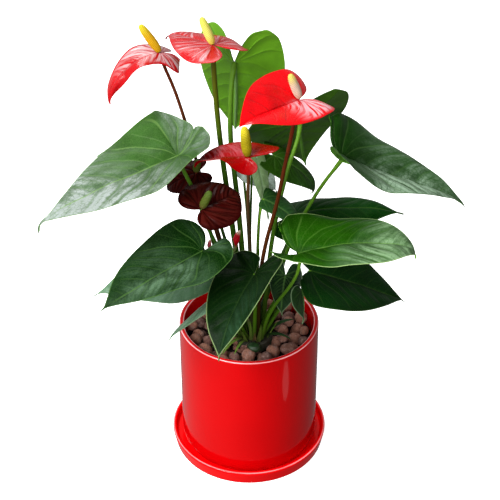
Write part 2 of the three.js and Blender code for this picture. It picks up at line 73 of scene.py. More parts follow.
# count + 1 points at equal steps along a smooth curve through the given ones.
def softCurve(points, count):
    p = np.asarray(points, float)
    p = np.vstack([2 * p[0] - p[1], p, 2 * p[-1] - p[-2]])
    t = np.linspace(0, 1, 30, endpoint=False)[:, None]
    runs = []
    for a, b, c, d in zip(p, p[1:], p[2:], p[3:]):
        ab, bc, cd = [max(np.linalg.norm(v) ** 0.5, 1e-4) for v in (b - a, c - b, d - c)]
        leave = ((b - a) / ab - (c - a) / (ab + bc) + (c - b) / bc) * bc
        arrive = ((c - b) / bc - (d - b) / (bc + cd) + (d - c) / cd) * bc
        square, cube = 3 * (c - b) - 2 * leave - arrive, 2 * (b - c) + leave + arrive
        runs.append(b + leave * t + square * t**2 + cube * t**3)
    dense = np.vstack(runs + [p[-2:-1]])
    walked = np.concatenate([[0], np.cumsum(np.linalg.norm(np.diff(dense, axis=0), axis=1))])
    stops = np.linspace(0, walked[-1], count + 1)
    return np.column_stack([np.interp(stops, walked, dense[:, k]) for k in range(p.shape[1])])


# A closed smooth-shaded piece from points in mm. data holds one number per point for each name.
def makePiece(name, points, faces, materials, replaced=(), faceMaterials=None, data=None, uv=None):
    mesh = bpy.data.meshes.new(name)
    mesh.from_pydata((np.asarray(points) * mm).tolist(), [], faces)
    for material in materials:
        mesh.materials.append(material)
    if faceMaterials is not None:
        mesh.polygons.foreach_set("material_index", np.asarray(faceMaterials, np.int32))
    mesh.shade_smooth()
    for key, values in (data or {}).items():
        values = np.asarray(values, np.float32)
        kind = "FLOAT_VECTOR" if values.ndim == 2 else "FLOAT"
        layer = mesh.attributes.new(key, kind, "POINT")
        layer.data.foreach_set("vector" if values.ndim == 2 else "value", values.ravel())
    if uv is not None:
        corners = np.empty(len(mesh.loops), np.int32)
        mesh.loops.foreach_get("vertex_index", corners)
        mesh.uv_layers.new(name="OFBake").data.foreach_set("uv", np.asarray(uv, np.float32)[corners].ravel())
    mesh.validate()
    piece = bpy.data.objects.new(name, mesh)
    bpy.context.scene.collection.objects.link(piece)
    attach(piece, "root")
    if replaced:
        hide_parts(*replaced)
    return piece


# Directions all the way round, as x and y.
def circle(count):
    return np.array([(math.cos(turn), math.sin(turn)) for turn in 2 * math.pi * np.arange(count) / count])


# Faces between closed rings of points that follow one another.
def ringFaces(rings, around, base=0, flipped=False):
    faces = []
    for a in range(base, base + (rings - 1) * around, around):
        b = a + around
        for j, n in zip(range(around), [*range(1, around), 0]):
            faces.append([a + j, b + j, b + n, a + n] if flipped else [a + j, a + n, b + n, b + j])
    return faces


# Joins points that fall together and drops the faces that close up.
def weldPoints(points, faces, extras):
    keys = np.round(np.asarray(points) / 2e-4).astype(np.int64)
    _, first, group = np.unique(keys, axis=0, return_index=True, return_inverse=True)
    group = group.ravel()
    kept, keptIndex = [], []
    for number, face in enumerate(faces):
        corners = []
        for corner in face:
            g = int(group[corner])
            if not corners or (g != corners[-1] and g != corners[0]):
                corners.append(g)
        if len(corners) > 2:
            kept.append(corners)
            keptIndex.append(number)
    return np.asarray(points)[first], kept, keptIndex, {k: np.asarray(v)[first] for k, v in extras.items()}


# shader helpers: a socket knows which tree of nodes it is in
def newMaterial(name):
    material = bpy.data.materials.new(name)
    material.use_nodes = True
    tree = material.node_tree
    return material, tree, tree.nodes["Principled BSDF"]


def setSockets(shader, **values):
    for key, value in values.items():
        shader.inputs[key.replace("_", " ")].default_value = value


def plug(socket, value):
    if isinstance(value, bpy.types.NodeSocket):
        socket.id_data.links.new(value, socket)
    else:
        socket.default_value = (*value, 1) if socket.type == "RGBA" else value


# A node with sockets or plain values plugged into its inputs in turn.
def newNode(tree, kind, *values):
    node = tree.nodes.new(kind)
    for socket, value in zip(node.inputs, values):
        plug(socket, value)
    return node


# The per-point number stored on the piece under that name.
def reading(tree, name, output="Fac"):
    node = newNode(tree, "ShaderNodeAttribute")
    node.attribute_name = name
    return node.outputs[output]


def math2(operation, a, b=0.0):
    node = newNode(a.id_data, "ShaderNodeMath", a, b)
    node.operation = operation
    return node.outputs[0]


def plus(a, b):
    return math2("ADD", a, b)


def times(product, *factors):
    for factor in factors:
        product = math2("MULTIPLY", product, factor)
    return product


# Smoothly maps a value from one range to another and holds it at the ends.
def ramp(value, fromLow, fromHigh, toLow=0.0, toHigh=1.0):
    node = newNode(value.id_data, "ShaderNodeMapRange", value, fromLow, fromHigh, toLow, toHigh)
    node.interpolation_type = "SMOOTHSTEP"
    return node.outputs[0]


def blendColours(amount, a, b):
    node = newNode(amount.id_data, "ShaderNodeMix", amount)
    node.data_type = "RGBA"
    plug(node.inputs[6], a)
    plug(node.inputs[7], b)
    return node.outputs[2]


def noisePattern(where, scale, detail=3.0, roughness=0.5):
    node = newNode(where.id_data, "ShaderNodeTexNoise", where)
    setSockets(node, Scale=scale, Detail=detail, Roughness=roughness)
    return node.outputs[0]


# How far it is to the border between two cells.
def cellPattern(where, scale):
    node = newNode(where.id_data, "ShaderNodeTexVoronoi", where)
    node.feature = "DISTANCE_TO_EDGE"
    setSockets(node, Scale=scale)
    return node.outputs["Distance"]


def stretched(where, scales):
    node = newNode(where.id_data, "ShaderNodeVectorMath", where, scales)
    node.operation = "MULTIPLY"
    return node.outputs[0]


def objectPlace(tree):
    return newNode(tree, "ShaderNodeTexCoord").outputs["Object"]


def dimmed(colour, share):
    return tuple(min(1, share * c) for c in colour)


# Colours laid over one another, each with a mask for where it shows.
def layered(colour, *layers):
    for mask, over in layers:
        colour = blendColours(mask, colour, over)
    return colour


# What every material ends with: colour, roughness and a bump, then the shader's plain values.
def dress(shader, colour, roughness, height, strength, distance, **values):
    plug(shader.inputs["Base Color"], colour)
    plug(shader.inputs["Roughness"], roughness)
    bump = newNode(height.id_data, "ShaderNodeBump")
    setSockets(bump, Strength=strength, Distance=distance)
    plug(bump.inputs["Height"], height)
    plug(shader.inputs["Normal"], bump.outputs[0])
    setSockets(shader, **values)


# pot and saucer
glaze = {
    "potRed": (0.58, 0.0004, 0.0015),
    # the saucer's red is the pot's glaze made lighter, painted light against the shade the pot casts over it
    "saucerRed": (0.89, 0.0006, 0.002),
    "potPaintedHighlight": (1.0, 0.62, 0.65),  # painted highlight along the rounded edges of the rim
    "saucerPaintedHighlight": (0.96, 0.40, 0.42),
    "paintedHighlightWidth": 0.42,  # mm, how wide the painted highlight lines are
    "orangePeel": 0.00006,  # m
    "wander": 0.12,  # mm that the walls are out of true
}

potShape = {
    "radius": 68, "footRadius": 66, "wall": 5, "rim": 147, "foot": 6.8, "floor": 12.8, "drain": 7,
    "lip": 1.9, "heel": 7,
}

saucerShape = {
    "radius": 78, "footRadius": 75.5, "wall": 3.4, "height": 15.4, "floor": 6.5, "lip": 1.65, "footRing": 4,
}


def glazeMaterial(name, red, paintedHighlightColour, least, most):
    material, tree, shader = newMaterial(name)
    where = objectPlace(tree)
    # painted highlight: a pale line along the rim's rounded edges, brighter and dimmer at random round the
    # rim
    paintedHighlight = times(reading(tree, "lip"), ramp(noisePattern(where, 24, 3), 0.35, 0.65, least, most))
    drift = ramp(noisePattern(where, 14, 2), 0.3, 0.75)
    colour = layered(red, (drift, dimmed(red, 0.93)), (paintedHighlight, paintedHighlightColour))
    roughness = ramp(noisePattern(where, 60, 3), 0.35, 0.7, 0.08, 0.13)
    dress(shader, colour, roughness, noisePattern(where, 180, 2), 0.25, glaze["orangePeel"],
          IOR=1.5, Specular_IOR_Level=0.14, Coat_Weight=0.04, Coat_Roughness=0.04)
    return material


# Points of a round corner in a turned profile, angles in degrees.
def arc(centre, radius, start, end, steps=8):
    angles = np.radians(np.linspace(start, end, steps))
    return [(centre[0] + radius * math.cos(a), centre[1] + radius * math.sin(a)) for a in angles]


# Points strictly between two corners, so that long straight stretches carry detail too.
def run(a, b, steps):
    return [tuple(np.add(a, np.subtract(b, a) * k / steps)) for k in range(1, steps)]


def turnedPiece(name, profile, edgeLines, material, replaced):
    profile = np.asarray(profile)
    gaps = np.min([np.linalg.norm(profile - line, axis=1) for line in edgeLines], axis=0)
    # painted highlight: a narrow pale line along each edge line, kept per point as "lip"
    paintedHighlight = np.exp(-((gaps / glaze["paintedHighlightWidth"]) ** 2))
    around, points = 180, []
    for r, z in profile:
        for x, y in circle(around):
            # hand-made walls wander a little, but keep their height
            reach = r + glaze["wander"] * noise.noise((3 * x, 3 * y, z / 40)) * min(1, r / 30)
            points.append((reach * x, reach * y, z))
    extras = {"lip": np.repeat(paintedHighlight, around)}
    points, faces, _, extras = weldPoints(points, ringFaces(len(profile), around), extras)
    return makePiece(name, points, faces, [material], replaced, data=extras)


def makePot(material):
    pot = potShape
    outer, inner, lip = pot["radius"], pot["radius"] - pot["wall"], pot["lip"]
    footRadius, foot, floor, drain = pot["footRadius"], pot["foot"], pot["floor"], pot["drain"]
    top = pot["rim"] - lip
    profile = [(drain, foot)]
    profile += run(profile[-1], (footRadius - 2.2, foot), 6)
    profile += arc((footRadius - 2, foot + 2), 2, -90, -8)
    for t in (0.1, 0.3, 0.6, 1):
        profile.append((footRadius + 0.25 + 1.75 * math.sin(t * math.pi / 2), foot + 2.4 + pot["heel"] * t))
    profile += run(profile[-1], (outer, top), 26)
    profile += arc((outer - lip, top), lip, 0, 90, 15)
    profile += arc((inner + lip, top), lip, 90, 180, 15)
    profile += run((inner, top), (inner, floor + 4), 14)
    profile += arc((inner - 4, floor + 4), 4, 0, -90)
    profile += run(profile[-1], (drain, floor), 4)
    profile += [(drain, floor), (drain, foot)]
    # where the painted highlight lines lie
    edgeLines = arc((outer - lip, top), lip, 50, 50, 1) + arc((inner + lip, top), lip, 125, 125, 1)
    return turnedPiece("pot_glazed", profile, edgeLines, material, ("pot",))


def makeSaucer(material):
    outer, lip, floor = saucerShape["radius"], saucerShape["lip"], saucerShape["floor"]
    footRadius = saucerShape["footRadius"]
    innerRim, innerFoot = outer - saucerShape["wall"], footRadius - 1.2
    top = saucerShape["height"] - lip
    ring = footRadius - saucerShape["footRing"]
    profile = [(0, 1.2)] + run((0, 1.2), (ring - 2, 1.2), 5) + [(ring - 1.2, 1.1), (ring, 0)]
    profile += run((ring, 0), (footRadius - 1.6, 0), 3)
    profile += arc((footRadius - 1.4, 1.4), 1.4, -90, -20, 5)
    profile += run(profile[-1], (outer, top), 8)
    profile += arc((outer - lip, top), lip, 8, 90, 15)
    profile += arc((innerRim + lip, top), lip, 90, 172, 15)
    profile += run(profile[-1], (innerFoot + 0.6, floor + 2.4), 6)
    profile += arc((innerFoot - 2.4, floor + 3), 3, -8, -90, 7)
    profile += run(profile[-1], (0, floor), 8) + [(0, floor)]
    # where the painted highlight line lies
    edgeLines = arc((outer - lip, top), lip, 65, 65, 1)
    return turnedPiece("saucer_glazed", profile, edgeLines, material, ("saucer",))


makePot(glazeMaterial("potGlaze", glaze["potRed"], glaze["potPaintedHighlight"], 0.7, 1.0))
makeSaucer(glazeMaterial("saucerGlaze", glaze["saucerRed"], glaze["saucerPaintedHighlight"], 0.45, 0.85))
print("pot and saucer turned")


# clay pebbles
pebbles = {
    "bedRadius": 62.4,
    "bedFloor": 112,  # mm, nothing shows below this
    "sizes": (4.2, 8.4),  # smallest and largest radius
    "tries": 46,
    "surface": 139.5,
    "misses": 70,  # balls that find no room before the pouring stops
    "packed": 121,  # top of the dark layer under the pebbles, painted shade for the gaps
    "seed": 7,
    "lumps": 0.09,
    "oblong": ((0.84, 1.0), (0.78, 0.98)),  # limits of a pebble's width and height, against its length
    "oval": {"place": (39, -29, 133), "radius": 9, "stretch": (1, 0.74, 0.66)},  # the big one at the front
    "paintedShade": (0.016, 0.008, 0.006),  # painted shade: the colour seen through the gaps between the pebbles
    "clays": ((0.13, 0.062, 0.050), (0.27, 0.120, 0.078)),  # the darkest pebble and the lightest
    "dust": (0.36, 0.24, 0.21),
    "specks": (0.045, 0.024, 0.020),
}


def clayMaterial():
    material, tree, shader = newMaterial("firedClay")
    where = objectPlace(tree)
    dust, specks = noisePattern(where, 210, 5, 0.62), noisePattern(where, 900, 3, 0.7)
    dark, light = pebbles["clays"]
    colour = layered(
        dark, (ramp(reading(tree, "tint"), 0.15, 0.85), light),
        (ramp(dust, 0.48, 0.70, 0, 0.7), pebbles["dust"]),
        (ramp(specks, 0.52, 0.66, 0, 0.7), pebbles["specks"]),
    )
    dress(shader, colour, ramp(dust, 0.3, 0.7, 0.78, 0.95), plus(times(specks, -0.6), dust), 0.75, 0.0007,
          Specular_IOR_Level=0.35)
    return material


# How high a ball comes to rest if it is dropped at x, y.
def restingHeight(x, y, radius, placed):
    if not len(placed):
        return pebbles["bedFloor"] + radius
    gap2 = (placed[:, 0] - x) ** 2 + (placed[:, 1] - y) ** 2
    reach = placed[:, 3] + radius
    lift = np.where(gap2 < reach**2, placed[:, 2] + np.sqrt(np.maximum(reach**2 - gap2, 0)), 0)
    return max(pebbles["bedFloor"] + radius, lift.max())


def pourPebbles():
    draw = np.random.default_rng(pebbles["seed"])
    placed = np.array([[*pebbles["oval"]["place"], pebbles["oval"]["radius"]]])
    low, high = pebbles["sizes"]
    misses = 0
    while misses < pebbles["misses"]:
        radius = low + (high - low) * draw.beta(2.2, 1.7)
        spread = (pebbles["bedRadius"] - radius) * np.sqrt(draw.random(pebbles["tries"]))
        turn = 2 * math.pi * draw.random(pebbles["tries"])
        spots = np.column_stack([spread * np.cos(turn), spread * np.sin(turn)])
        heights = [restingHeight(x, y, radius, placed) for x, y in spots]
        best = int(np.argmin(heights))
        if heights[best] + radius > pebbles["surface"] + 1.5:
            misses += 1
            continue
        placed = np.vstack([placed, [*spots[best], heights[best], radius]])
    return placed[placed[:, 2] + placed[:, 3] > 124]


def ballNet(subdivisions):
    net = bmesh.new()
    bmesh.ops.create_icosphere(net, subdivisions=subdivisions, radius=1)
    points = np.array([v.co for v in net.verts])
    faces = [[v.index for v in f.verts] for f in net.faces]
    net.free()
    return points, faces


# How far the points of a ball stand out with big lumps and small ones.
def lumpy(ball, big, bigStep, small, smallStep, off=Vector()):
    swell = []
    for point in ball:
        p = Vector(point)
        swell.append(1 + big * noise.noise(p * bigStep + off) + small * noise.noise(p * smallStep + off))
    return np.array(swell)


def makePebbles(material):
    draw = np.random.default_rng(pebbles["seed"] + 1)
    ball, ballFaces = ballNet(4)
    points, faces, tint = [], [], []
    for number, (x, y, z, radius) in enumerate(pourPebbles()):
        axes = radius * np.array([1, *(draw.uniform(*limits) for limits in pebbles["oblong"])])
        turn = np.array(Matrix.Rotation(draw.uniform(0, 6.28), 3, unit(draw.normal(size=3))))
        if number == 0:
            axes, turn = radius * np.array(pebbles["oval"]["stretch"]), np.eye(3)
        off = Vector(draw.uniform(-50, 50, 3))
        swell = lumpy(ball, pebbles["lumps"], 1.3, 0.03, 4, off)
        base = len(points) * len(ball)
        points.append((ball * swell[:, None] * axes) @ turn.T + (x, y, z))
        faces += [[base + k for k in face] for face in ballFaces]
        tint.append(np.full(len(ball), draw.random()))
    print("pebbles poured:", len(points))
    count = len(faces)
    packed, packedFaces = shadeLayerNet()
    base = len(points) * len(ball)
    points.append(packed)
    faces += [[base + k for k in face] for face in packedFaces]
    tint.append(np.zeros(len(packed)))
    return makePiece(
        "clay_pebble_bed", np.vstack(points), faces, [material, shadeLayerMaterial()], ("clay_pebbles",),
        faceMaterials=[0] * count + [1] * (len(faces) - count), data={"tint": np.concatenate(tint)},
    )


# The dark lumpy layer under the pebbles, a sheet of painted shade for the gaps: from the middle out, down at
# the rim and back below.
def shadeLayerNet():
    rings, around, points = 26, 96, []
    radii = (pebbles["bedRadius"] + 0.3) * np.arange(rings + 1) / rings
    for r, low in [(r, False) for r in radii] + [(r, True) for r in radii[::-1]]:
        for x, y in r * circle(around):
            lump = 1.6 * noise.noise((x / 5, y / 5, 3)) if r < radii[-1] else 0
            points.append((x, y, pebbles["bedFloor"] if low else pebbles["packed"] + lump))
    return weldPoints(points, ringFaces(2 * (rings + 1), around, flipped=True), {})[:2]


# painted shade: the dark colour of the sheet under the pebbles
def shadeLayerMaterial():
    material, tree, shader = newMaterial("paintedShade")
    grit = noisePattern(objectPlace(tree), 400, 4, 0.65)
    colour = blendColours(ramp(grit, 0.35, 0.65), dimmed(pebbles["paintedShade"], 0.4), pebbles["paintedShade"])
    dress(shader, colour, ramp(grit, 0.3, 0.7, 0.8, 1.0), grit, 0.8, 0.001, Specular_IOR_Level=0.1)
    return material


makePebbles(clayMaterial())


# blades: leaves and the flowers' collars share one way of bending
# Half outlines, [along, across]: along is a share of the length ahead of the stalk and of the lobe
# behind it, across a share of the half width.
slimOutline = [
    (0, 0), (-0.52, 0.13), (-0.95, 0.36), (-0.98, 0.66), (-0.5, 0.92), (0.04, 1),
    (0.3, 0.89), (0.54, 0.62), (0.76, 0.29), (0.92, 0.07), (1, 0),
]
fullOutline = slimOutline[:6] + [(0.3, 0.99), (0.54, 0.84), (0.76, 0.56), (0.92, 0.22), (1, 0)]

bladeNet = {
    "margin": 104,  # steps along each half of the margin
    "rows": 26,  # steps from the midrib to the margin
    "edge": 0.42,  # mm thick at the margin
    "body": 0.62,
    "rib": 1.5,  # mm that the midrib stands out of the underside near the stalk
}

veins = {
    "spread": 65,  # degrees between the midrib and the first side vein
    "step": 35,  # degrees between the veins that fan out behind it
    "lean": 0.47,
    "sweep": 1.1,  # how hard the side veins turn towards the tip
}


# Corners of one half of the margin, side 0 being the left half and 1 the right.
def halfOutline(leaf, side):
    slim, full = np.array(slimOutline), np.array(fullOutline)
    mixed = slim + (full - slim) * np.broadcast_to(leaf["full"], 2)[side]
    mixed[1:3, 1] *= np.broadcast_to(leaf["sinus"], 2)[side]
    mixed[3:5, 1] *= leaf["lobeWide"][side]
    along = np.where(mixed[:, 0] < 0, leaf["back"] * leaf["backs"][side], leaf["length"])
    outline = np.column_stack([mixed[:, 0] * along, mixed[:, 1] * leaf["width"] * leaf["halves"][side]])
    length, drip = leaf["length"], leaf["drip"]  # a tip ends in a thin tail, the drip
    tail = [(length - 0.2 * drip, 0.9), (length + 0.7 * drip, 0.45), (length + drip, 0)]
    outline[-2, 1] *= 1 - 0.03 * drip
    return softCurve(np.vstack([outline[:-1], tail]), bladeNet["margin"])


# Place and slope of the bent midrib at these distances along it.
def midrib(leaf, along, ease):
    def slope(a):
        u = a / leaf["length"]
        tip = np.clip((u - 0.72) / 0.28, 0, 1.2)
        ahead = -math.radians(leaf["droop"]) * u - math.radians(leaf["curl"]) * tip**2
        end = np.clip((a - leaf["length"] + 4) / (leaf["drip"] + 4), 0, 1)
        ahead = ahead - math.radians(leaf["hook"]) * end
        behind = np.maximum(-a / leaf["back"], 0) ** ease
        return np.where(a < 0, math.radians(leaf["lobe"]) * behind, ahead)
    fine = np.linspace(-1.1 * leaf["back"], 1.25 * leaf["length"], 1300)
    step = fine[1] - fine[0]
    middle = slope(fine[:-1] + step / 2)
    x = np.concatenate([[0], np.cumsum(np.cos(middle) * step)])
    z = np.concatenate([[0], np.cumsum(np.sin(middle) * step)])
    x -= np.interp(0, fine, x)
    z -= np.interp(0, fine, z)
    return np.interp(along, fine, x), np.interp(along, fine, z), slope(along)


def bladeAxes(leaf):
    h, p, r = (math.radians(leaf[key]) for key in ("heading", "pitch", "roll"))
    along = np.array([math.cos(p) * math.cos(h), math.cos(p) * math.sin(h), math.sin(p)])
    level = np.array([-math.sin(h), math.cos(h), 0])
    across = level * math.cos(r) + np.cross(along, level) * math.sin(r)
    return np.array([along, across, np.cross(along, across)])


# Where points of the flat blade land on the bent one, and the way its face looks there.
def bend(leaf, along, across):
    x, z, angle = midrib(leaf, along, 1)
    y, left = np.abs(across), across > 0
    if leaf["lobeEase"] < 1:
        early = 1 - smoothStep(y, 4, 24)
        sooner = midrib(leaf, along, leaf["lobeEase"])
        x, z, angle = (a + (b - a) * early for a, b in zip((x, z, angle), sooner))
    near = smoothStep(0.35 * leaf["length"] - along, 0, 0.35 * leaf["length"] + 0.5 * leaf["back"])
    tip = smoothStep(along / leaf["length"], 0.3, 1)
    tilt = np.where(left, *leaf["tilt"]) + np.where(left, *leaf["twist"]) * tip
    ear = leaf["ear"] + np.where(left, *leaf["earSides"]) * smoothStep(y, 0, 4)
    fold = np.radians(leaf["fold"] + ear * near + tilt * smoothStep(y, 0, 6))
    rollDown = math.radians(max(leaf["cup"], 0.01)) / leaf["width"]
    side = np.sign(np.where(y < 1e-6, 0, across))
    end = fold - rollDown * y
    out = side * (np.sin(fold) - np.sin(end)) / rollDown
    up = (np.cos(end) - np.cos(fold)) / rollDown
    sine, cosine = np.sin(angle), np.cos(angle)
    axes = bladeAxes(leaf)
    place = np.column_stack([x - sine * up, out, z + cosine * up]) @ axes
    face = np.column_stack([-sine * np.cos(end), -side * np.sin(end), cosine * np.cos(end)]) @ axes
    return place + np.array(leaf["hub"], float), face / np.linalg.norm(face, axis=1)[:, None]


# A number that is whole on every side vein, and the distance in mm between two of them.
def veinField(leaf, along, across):
    y = np.abs(across)
    width, pitchAlong = leaf["width"], leaf["length"] / leaf["sideVeins"]
    advance = veins["lean"] * y + veins["sweep"] * y**2 / width
    ahead = along - advance
    first = math.radians(veins["spread"])
    radius = np.hypot(along, y) + 1e-6
    # the first side vein leaves the stalk at that angle and turns towards the tip as it runs out
    fine = np.linspace(0, 1.3 * width, 200)
    fineAlong = veins["lean"] * fine + veins["sweep"] * fine**2 / width
    onFirst = np.interp(radius, np.hypot(fine, fineAlong), np.arctan2(fine, fineAlong + 1e-6))
    turned = first - onFirst
    angle = np.arctan2(y, along)
    fanned = angle + turned * (math.pi - angle) / np.maximum(math.pi - onFirst, 0.1)
    step = math.radians(veins["step"])
    behind = np.maximum(fanned - first, 0) / step
    field = np.where(ahead > 0, ahead / pitchAlong, -behind)
    gapAhead = pitchAlong / np.sqrt(1 + (veins["lean"] + 2 * veins["sweep"] * y / width) ** 2)
    share = smoothStep(ahead, -0.12 * leaf["length"], 0.04 * leaf["length"])
    gap = gapAhead * share + radius * step * (1 - share)
    seed = leaf["seed"] * 3.7
    drift = np.array([noise.noise((a / 24, b / 45, seed)) for a, b in zip(along, across)])
    return field + leaf["veinDrift"] * drift * smoothStep(radius, 5, 30), gap


# Height of the soft pillows between the veins, and of the margin's waves, in mm.
def relief(leaf, along, across, edge, field, gap):
    pillow = 1 - (1 - 2 * np.abs(field - np.round(field))) ** 2  # 0 on a vein, 1 halfway to the next
    inner = smoothStep(edge, 0.5, 7) * smoothStep(np.hypot(along, across), 2, 16)
    soft = smoothStep(np.abs(across), 0.3, 5)
    height = leaf["quilt"] * pillow * np.clip(gap / 12, 0.15, 1) * inner * soft
    height -= 0.35 * (1 - smoothStep(np.abs(across), 0, 1.8)) * smoothStep(along, 2, 12)  # by the midrib
    size, seed = leaf["rippleSize"], leaf["seed"] * 7.3
    ripple = np.array([noise.noise((a / size + seed, b / size, seed)) for a, b in zip(along, across)])
    height += leaf["ripple"] * ripple * smoothStep(np.hypot(along, across), 4, 30)
    fine = np.array([noise.noise((a / 6 + seed, b / 6, 3 + seed)) for a, b in zip(along, across)])
    height += 0.10 * leaf["quilt"] * fine * inner
    wave = np.sin(along / leaf["length"] * leaf["waves"] + np.where(across > 0, 0.7, 2.9) + seed)
    return height + leaf["frill"] * wave * (1 - smoothStep(edge, 0, 9)) * smoothStep(gap, 2, 8)


def bladePiece(name, leaf, looks, replaced):
    rows = bladeNet["rows"]
    halves = [halfOutline(leaf, 0), halfOutline(leaf, 1)]
    start = sum(np.maximum(0, half[:, 0] - 0.5 * half[:, 1]) for half in halves) / 2
    start = start[:, None]
    steps = np.linspace(0, 1, rows + 1)
    share = steps - 0.7 * np.sin(2 * math.pi * steps) / (2 * math.pi)  # closer rows by the rib and the margin
    share = np.concatenate([-share[:0:-1], share])
    endAlong, endAcross = (np.where(share > 0, halves[0][:, k, None], halves[1][:, k, None]) for k in (0, 1))
    along = (start + (endAlong - start) * np.abs(share)).ravel()
    across = (endAcross * share).ravel()
    edge = (np.hypot(endAlong - start, endAcross) * (1 - np.abs(share))).ravel()
    field, gap = veinField(leaf, along, across)
    height = relief(leaf, along, across, edge, field, gap)
    place, face = bend(leaf, along, across)
    y = np.abs(across)
    thick = bladeNet["edge"] + (bladeNet["body"] - bladeNet["edge"]) * smoothStep(edge, 0, 4)
    towardsTip = np.clip(1 - along / (0.97 * leaf["length"]), 0, 1)
    keel = bladeNet["rib"] * np.exp(-((y / 1.25) ** 2)) * towardsTip**0.7
    keel *= smoothStep(along, -6, 2) * smoothStep(edge, 0, 3) * leaf["keel"]
    side = 0.35 * (1 - smoothStep(np.abs(field - np.round(field)) * gap, 0.2, 1.4)) * smoothStep(edge, 1, 10)
    under = thick / 2 + keel + side * leaf["keel"] * smoothStep(gap, 1, 6)
    points = np.vstack([place + face * rise[:, None] for rise in (height + thick / 2, height - under)])
    stride, total = 2 * rows + 1, len(place)
    faces, sides = [], []
    for i in range(bladeNet["margin"]):
        first, last = i * stride, i * stride + 2 * rows
        for a in range(first, last):
            b = a + stride
            faces += [[a, b, b + 1, a + 1], [total + a + 1, total + b + 1, total + b, total + a]]
        faces.append([last, last + stride, total + last + stride, total + last])
        faces.append([first, total + first, total + first + stride, first + stride])
        sides += [0, 1] * (2 * rows) + [0, 0]
    u = (along + leaf["back"]) / (leaf["length"] + leaf["back"]) * 0.96 + 0.02
    v = across / (2 * leaf["width"]) * 0.46 + 0.25
    readings = {"veinField": field, "veinGap": gap, "rib": y, "edge": edge, "along": along / leaf["length"]}
    extras = {key: np.tile(values, 2) for key, values in readings.items()}
    flat = np.column_stack([along, across, np.full(total, leaf["seed"] * 31)])
    extras["flat"] = np.vstack([flat, flat])
    extras["uv"] = np.column_stack([np.tile(u, 2), np.concatenate([v, v + 0.5])])
    points, faces, kept, extras = weldPoints(points, faces, extras)
    uv = extras.pop("uv")
    return makePiece(name, points, faces, looks, replaced, np.array(sides)[kept], extras, uv)


# leaf surfaces: every look names its colours and how much painted sheen lies between the veins
leafLooks = {
    "deep": {
        "green": (0.010, 0.055, 0.009), "paintedSheen": (0.07, 0.17, 0.07), "paintedSheenAmount": 0.45,
        "paintedSheenFrom": 0.0, "paintedSheenTo": 0.8, "vein": (0.08, 0.18, 0.04), "veinShow": 0.26,
        "under": (0.080, 0.230, 0.020), "roughness": 0.34, "specular": 0.10,
    },
    "dark": {
        "green": (0.0022, 0.025, 0.003), "paintedSheen": (0.015, 0.055, 0.02), "paintedSheenAmount": 0.20,
        "paintedSheenFrom": 0.2, "paintedSheenTo": 1.0, "vein": (0.06, 0.13, 0.025), "veinShow": 0.16,
        "under": (0.045, 0.130, 0.015), "roughness": 0.34, "specular": 0.04,
    },
    "bright": {
        "green": (0.010, 0.050, 0.002), "paintedSheen": (0.14, 0.24, 0.12), "paintedSheenAmount": 0.95,
        "paintedSheenFrom": 0.12, "paintedSheenTo": 0.55, "vein": (0.13, 0.27, 0.04), "veinShow": 0.34,
        "under": (0.160, 0.480, 0.014), "roughness": 0.34, "specular": 0.12,
    },
    "silver": {
        "green": (0.026, 0.080, 0.008), "paintedSheen": (0.175, 0.24, 0.18), "paintedSheenAmount": 1.0,
        "paintedSheenFrom": 0.10, "paintedSheenTo": 0.62, "vein": (0.13, 0.24, 0.06), "veinShow": 0.5,
        "under": (0.075, 0.200, 0.030), "roughness": 0.32, "specular": 0.2,
    },
    "pale": {
        "green": (0.060, 0.150, 0.065), "paintedSheen": (0.26, 0.38, 0.30), "paintedSheenAmount": 0.5,
        "paintedSheenFrom": -0.3, "paintedSheenTo": 0.7, "vein": (0.20, 0.32, 0.17), "veinShow": 0.24,
        "under": (0.100, 0.230, 0.080), "roughness": 0.42, "specular": 0.2,
    },
}


def veinMask(tree, shift, width):
    phase = math2("PINGPONG", plus(reading(tree, "veinField"), shift), 0.5)
    return ramp(times(phase, reading(tree, "veinGap")), width * 0.35, width, 1, 0)


# Places that run on along the side veins and change quickly across them, in that many streaks from
# vein to vein.
def alongVeins(tree, streaks):
    shares = {"veinField": streaks, "rib": 0.045, "along": 1.5}
    parts = [times(reading(tree, key), share) for key, share in shares.items()]
    return newNode(tree, "ShaderNodeCombineXYZ", *parts).outputs[0]


# 1 on one half of a blade (side 1 is the left, -1 the right) and less on the other.
def sideShare(flat, side, otherSide, soft=10):
    split = newNode(flat.id_data, "ShaderNodeSeparateXYZ", flat)
    return ramp(times(split.outputs[1], side), -soft, soft, otherSide, 1)


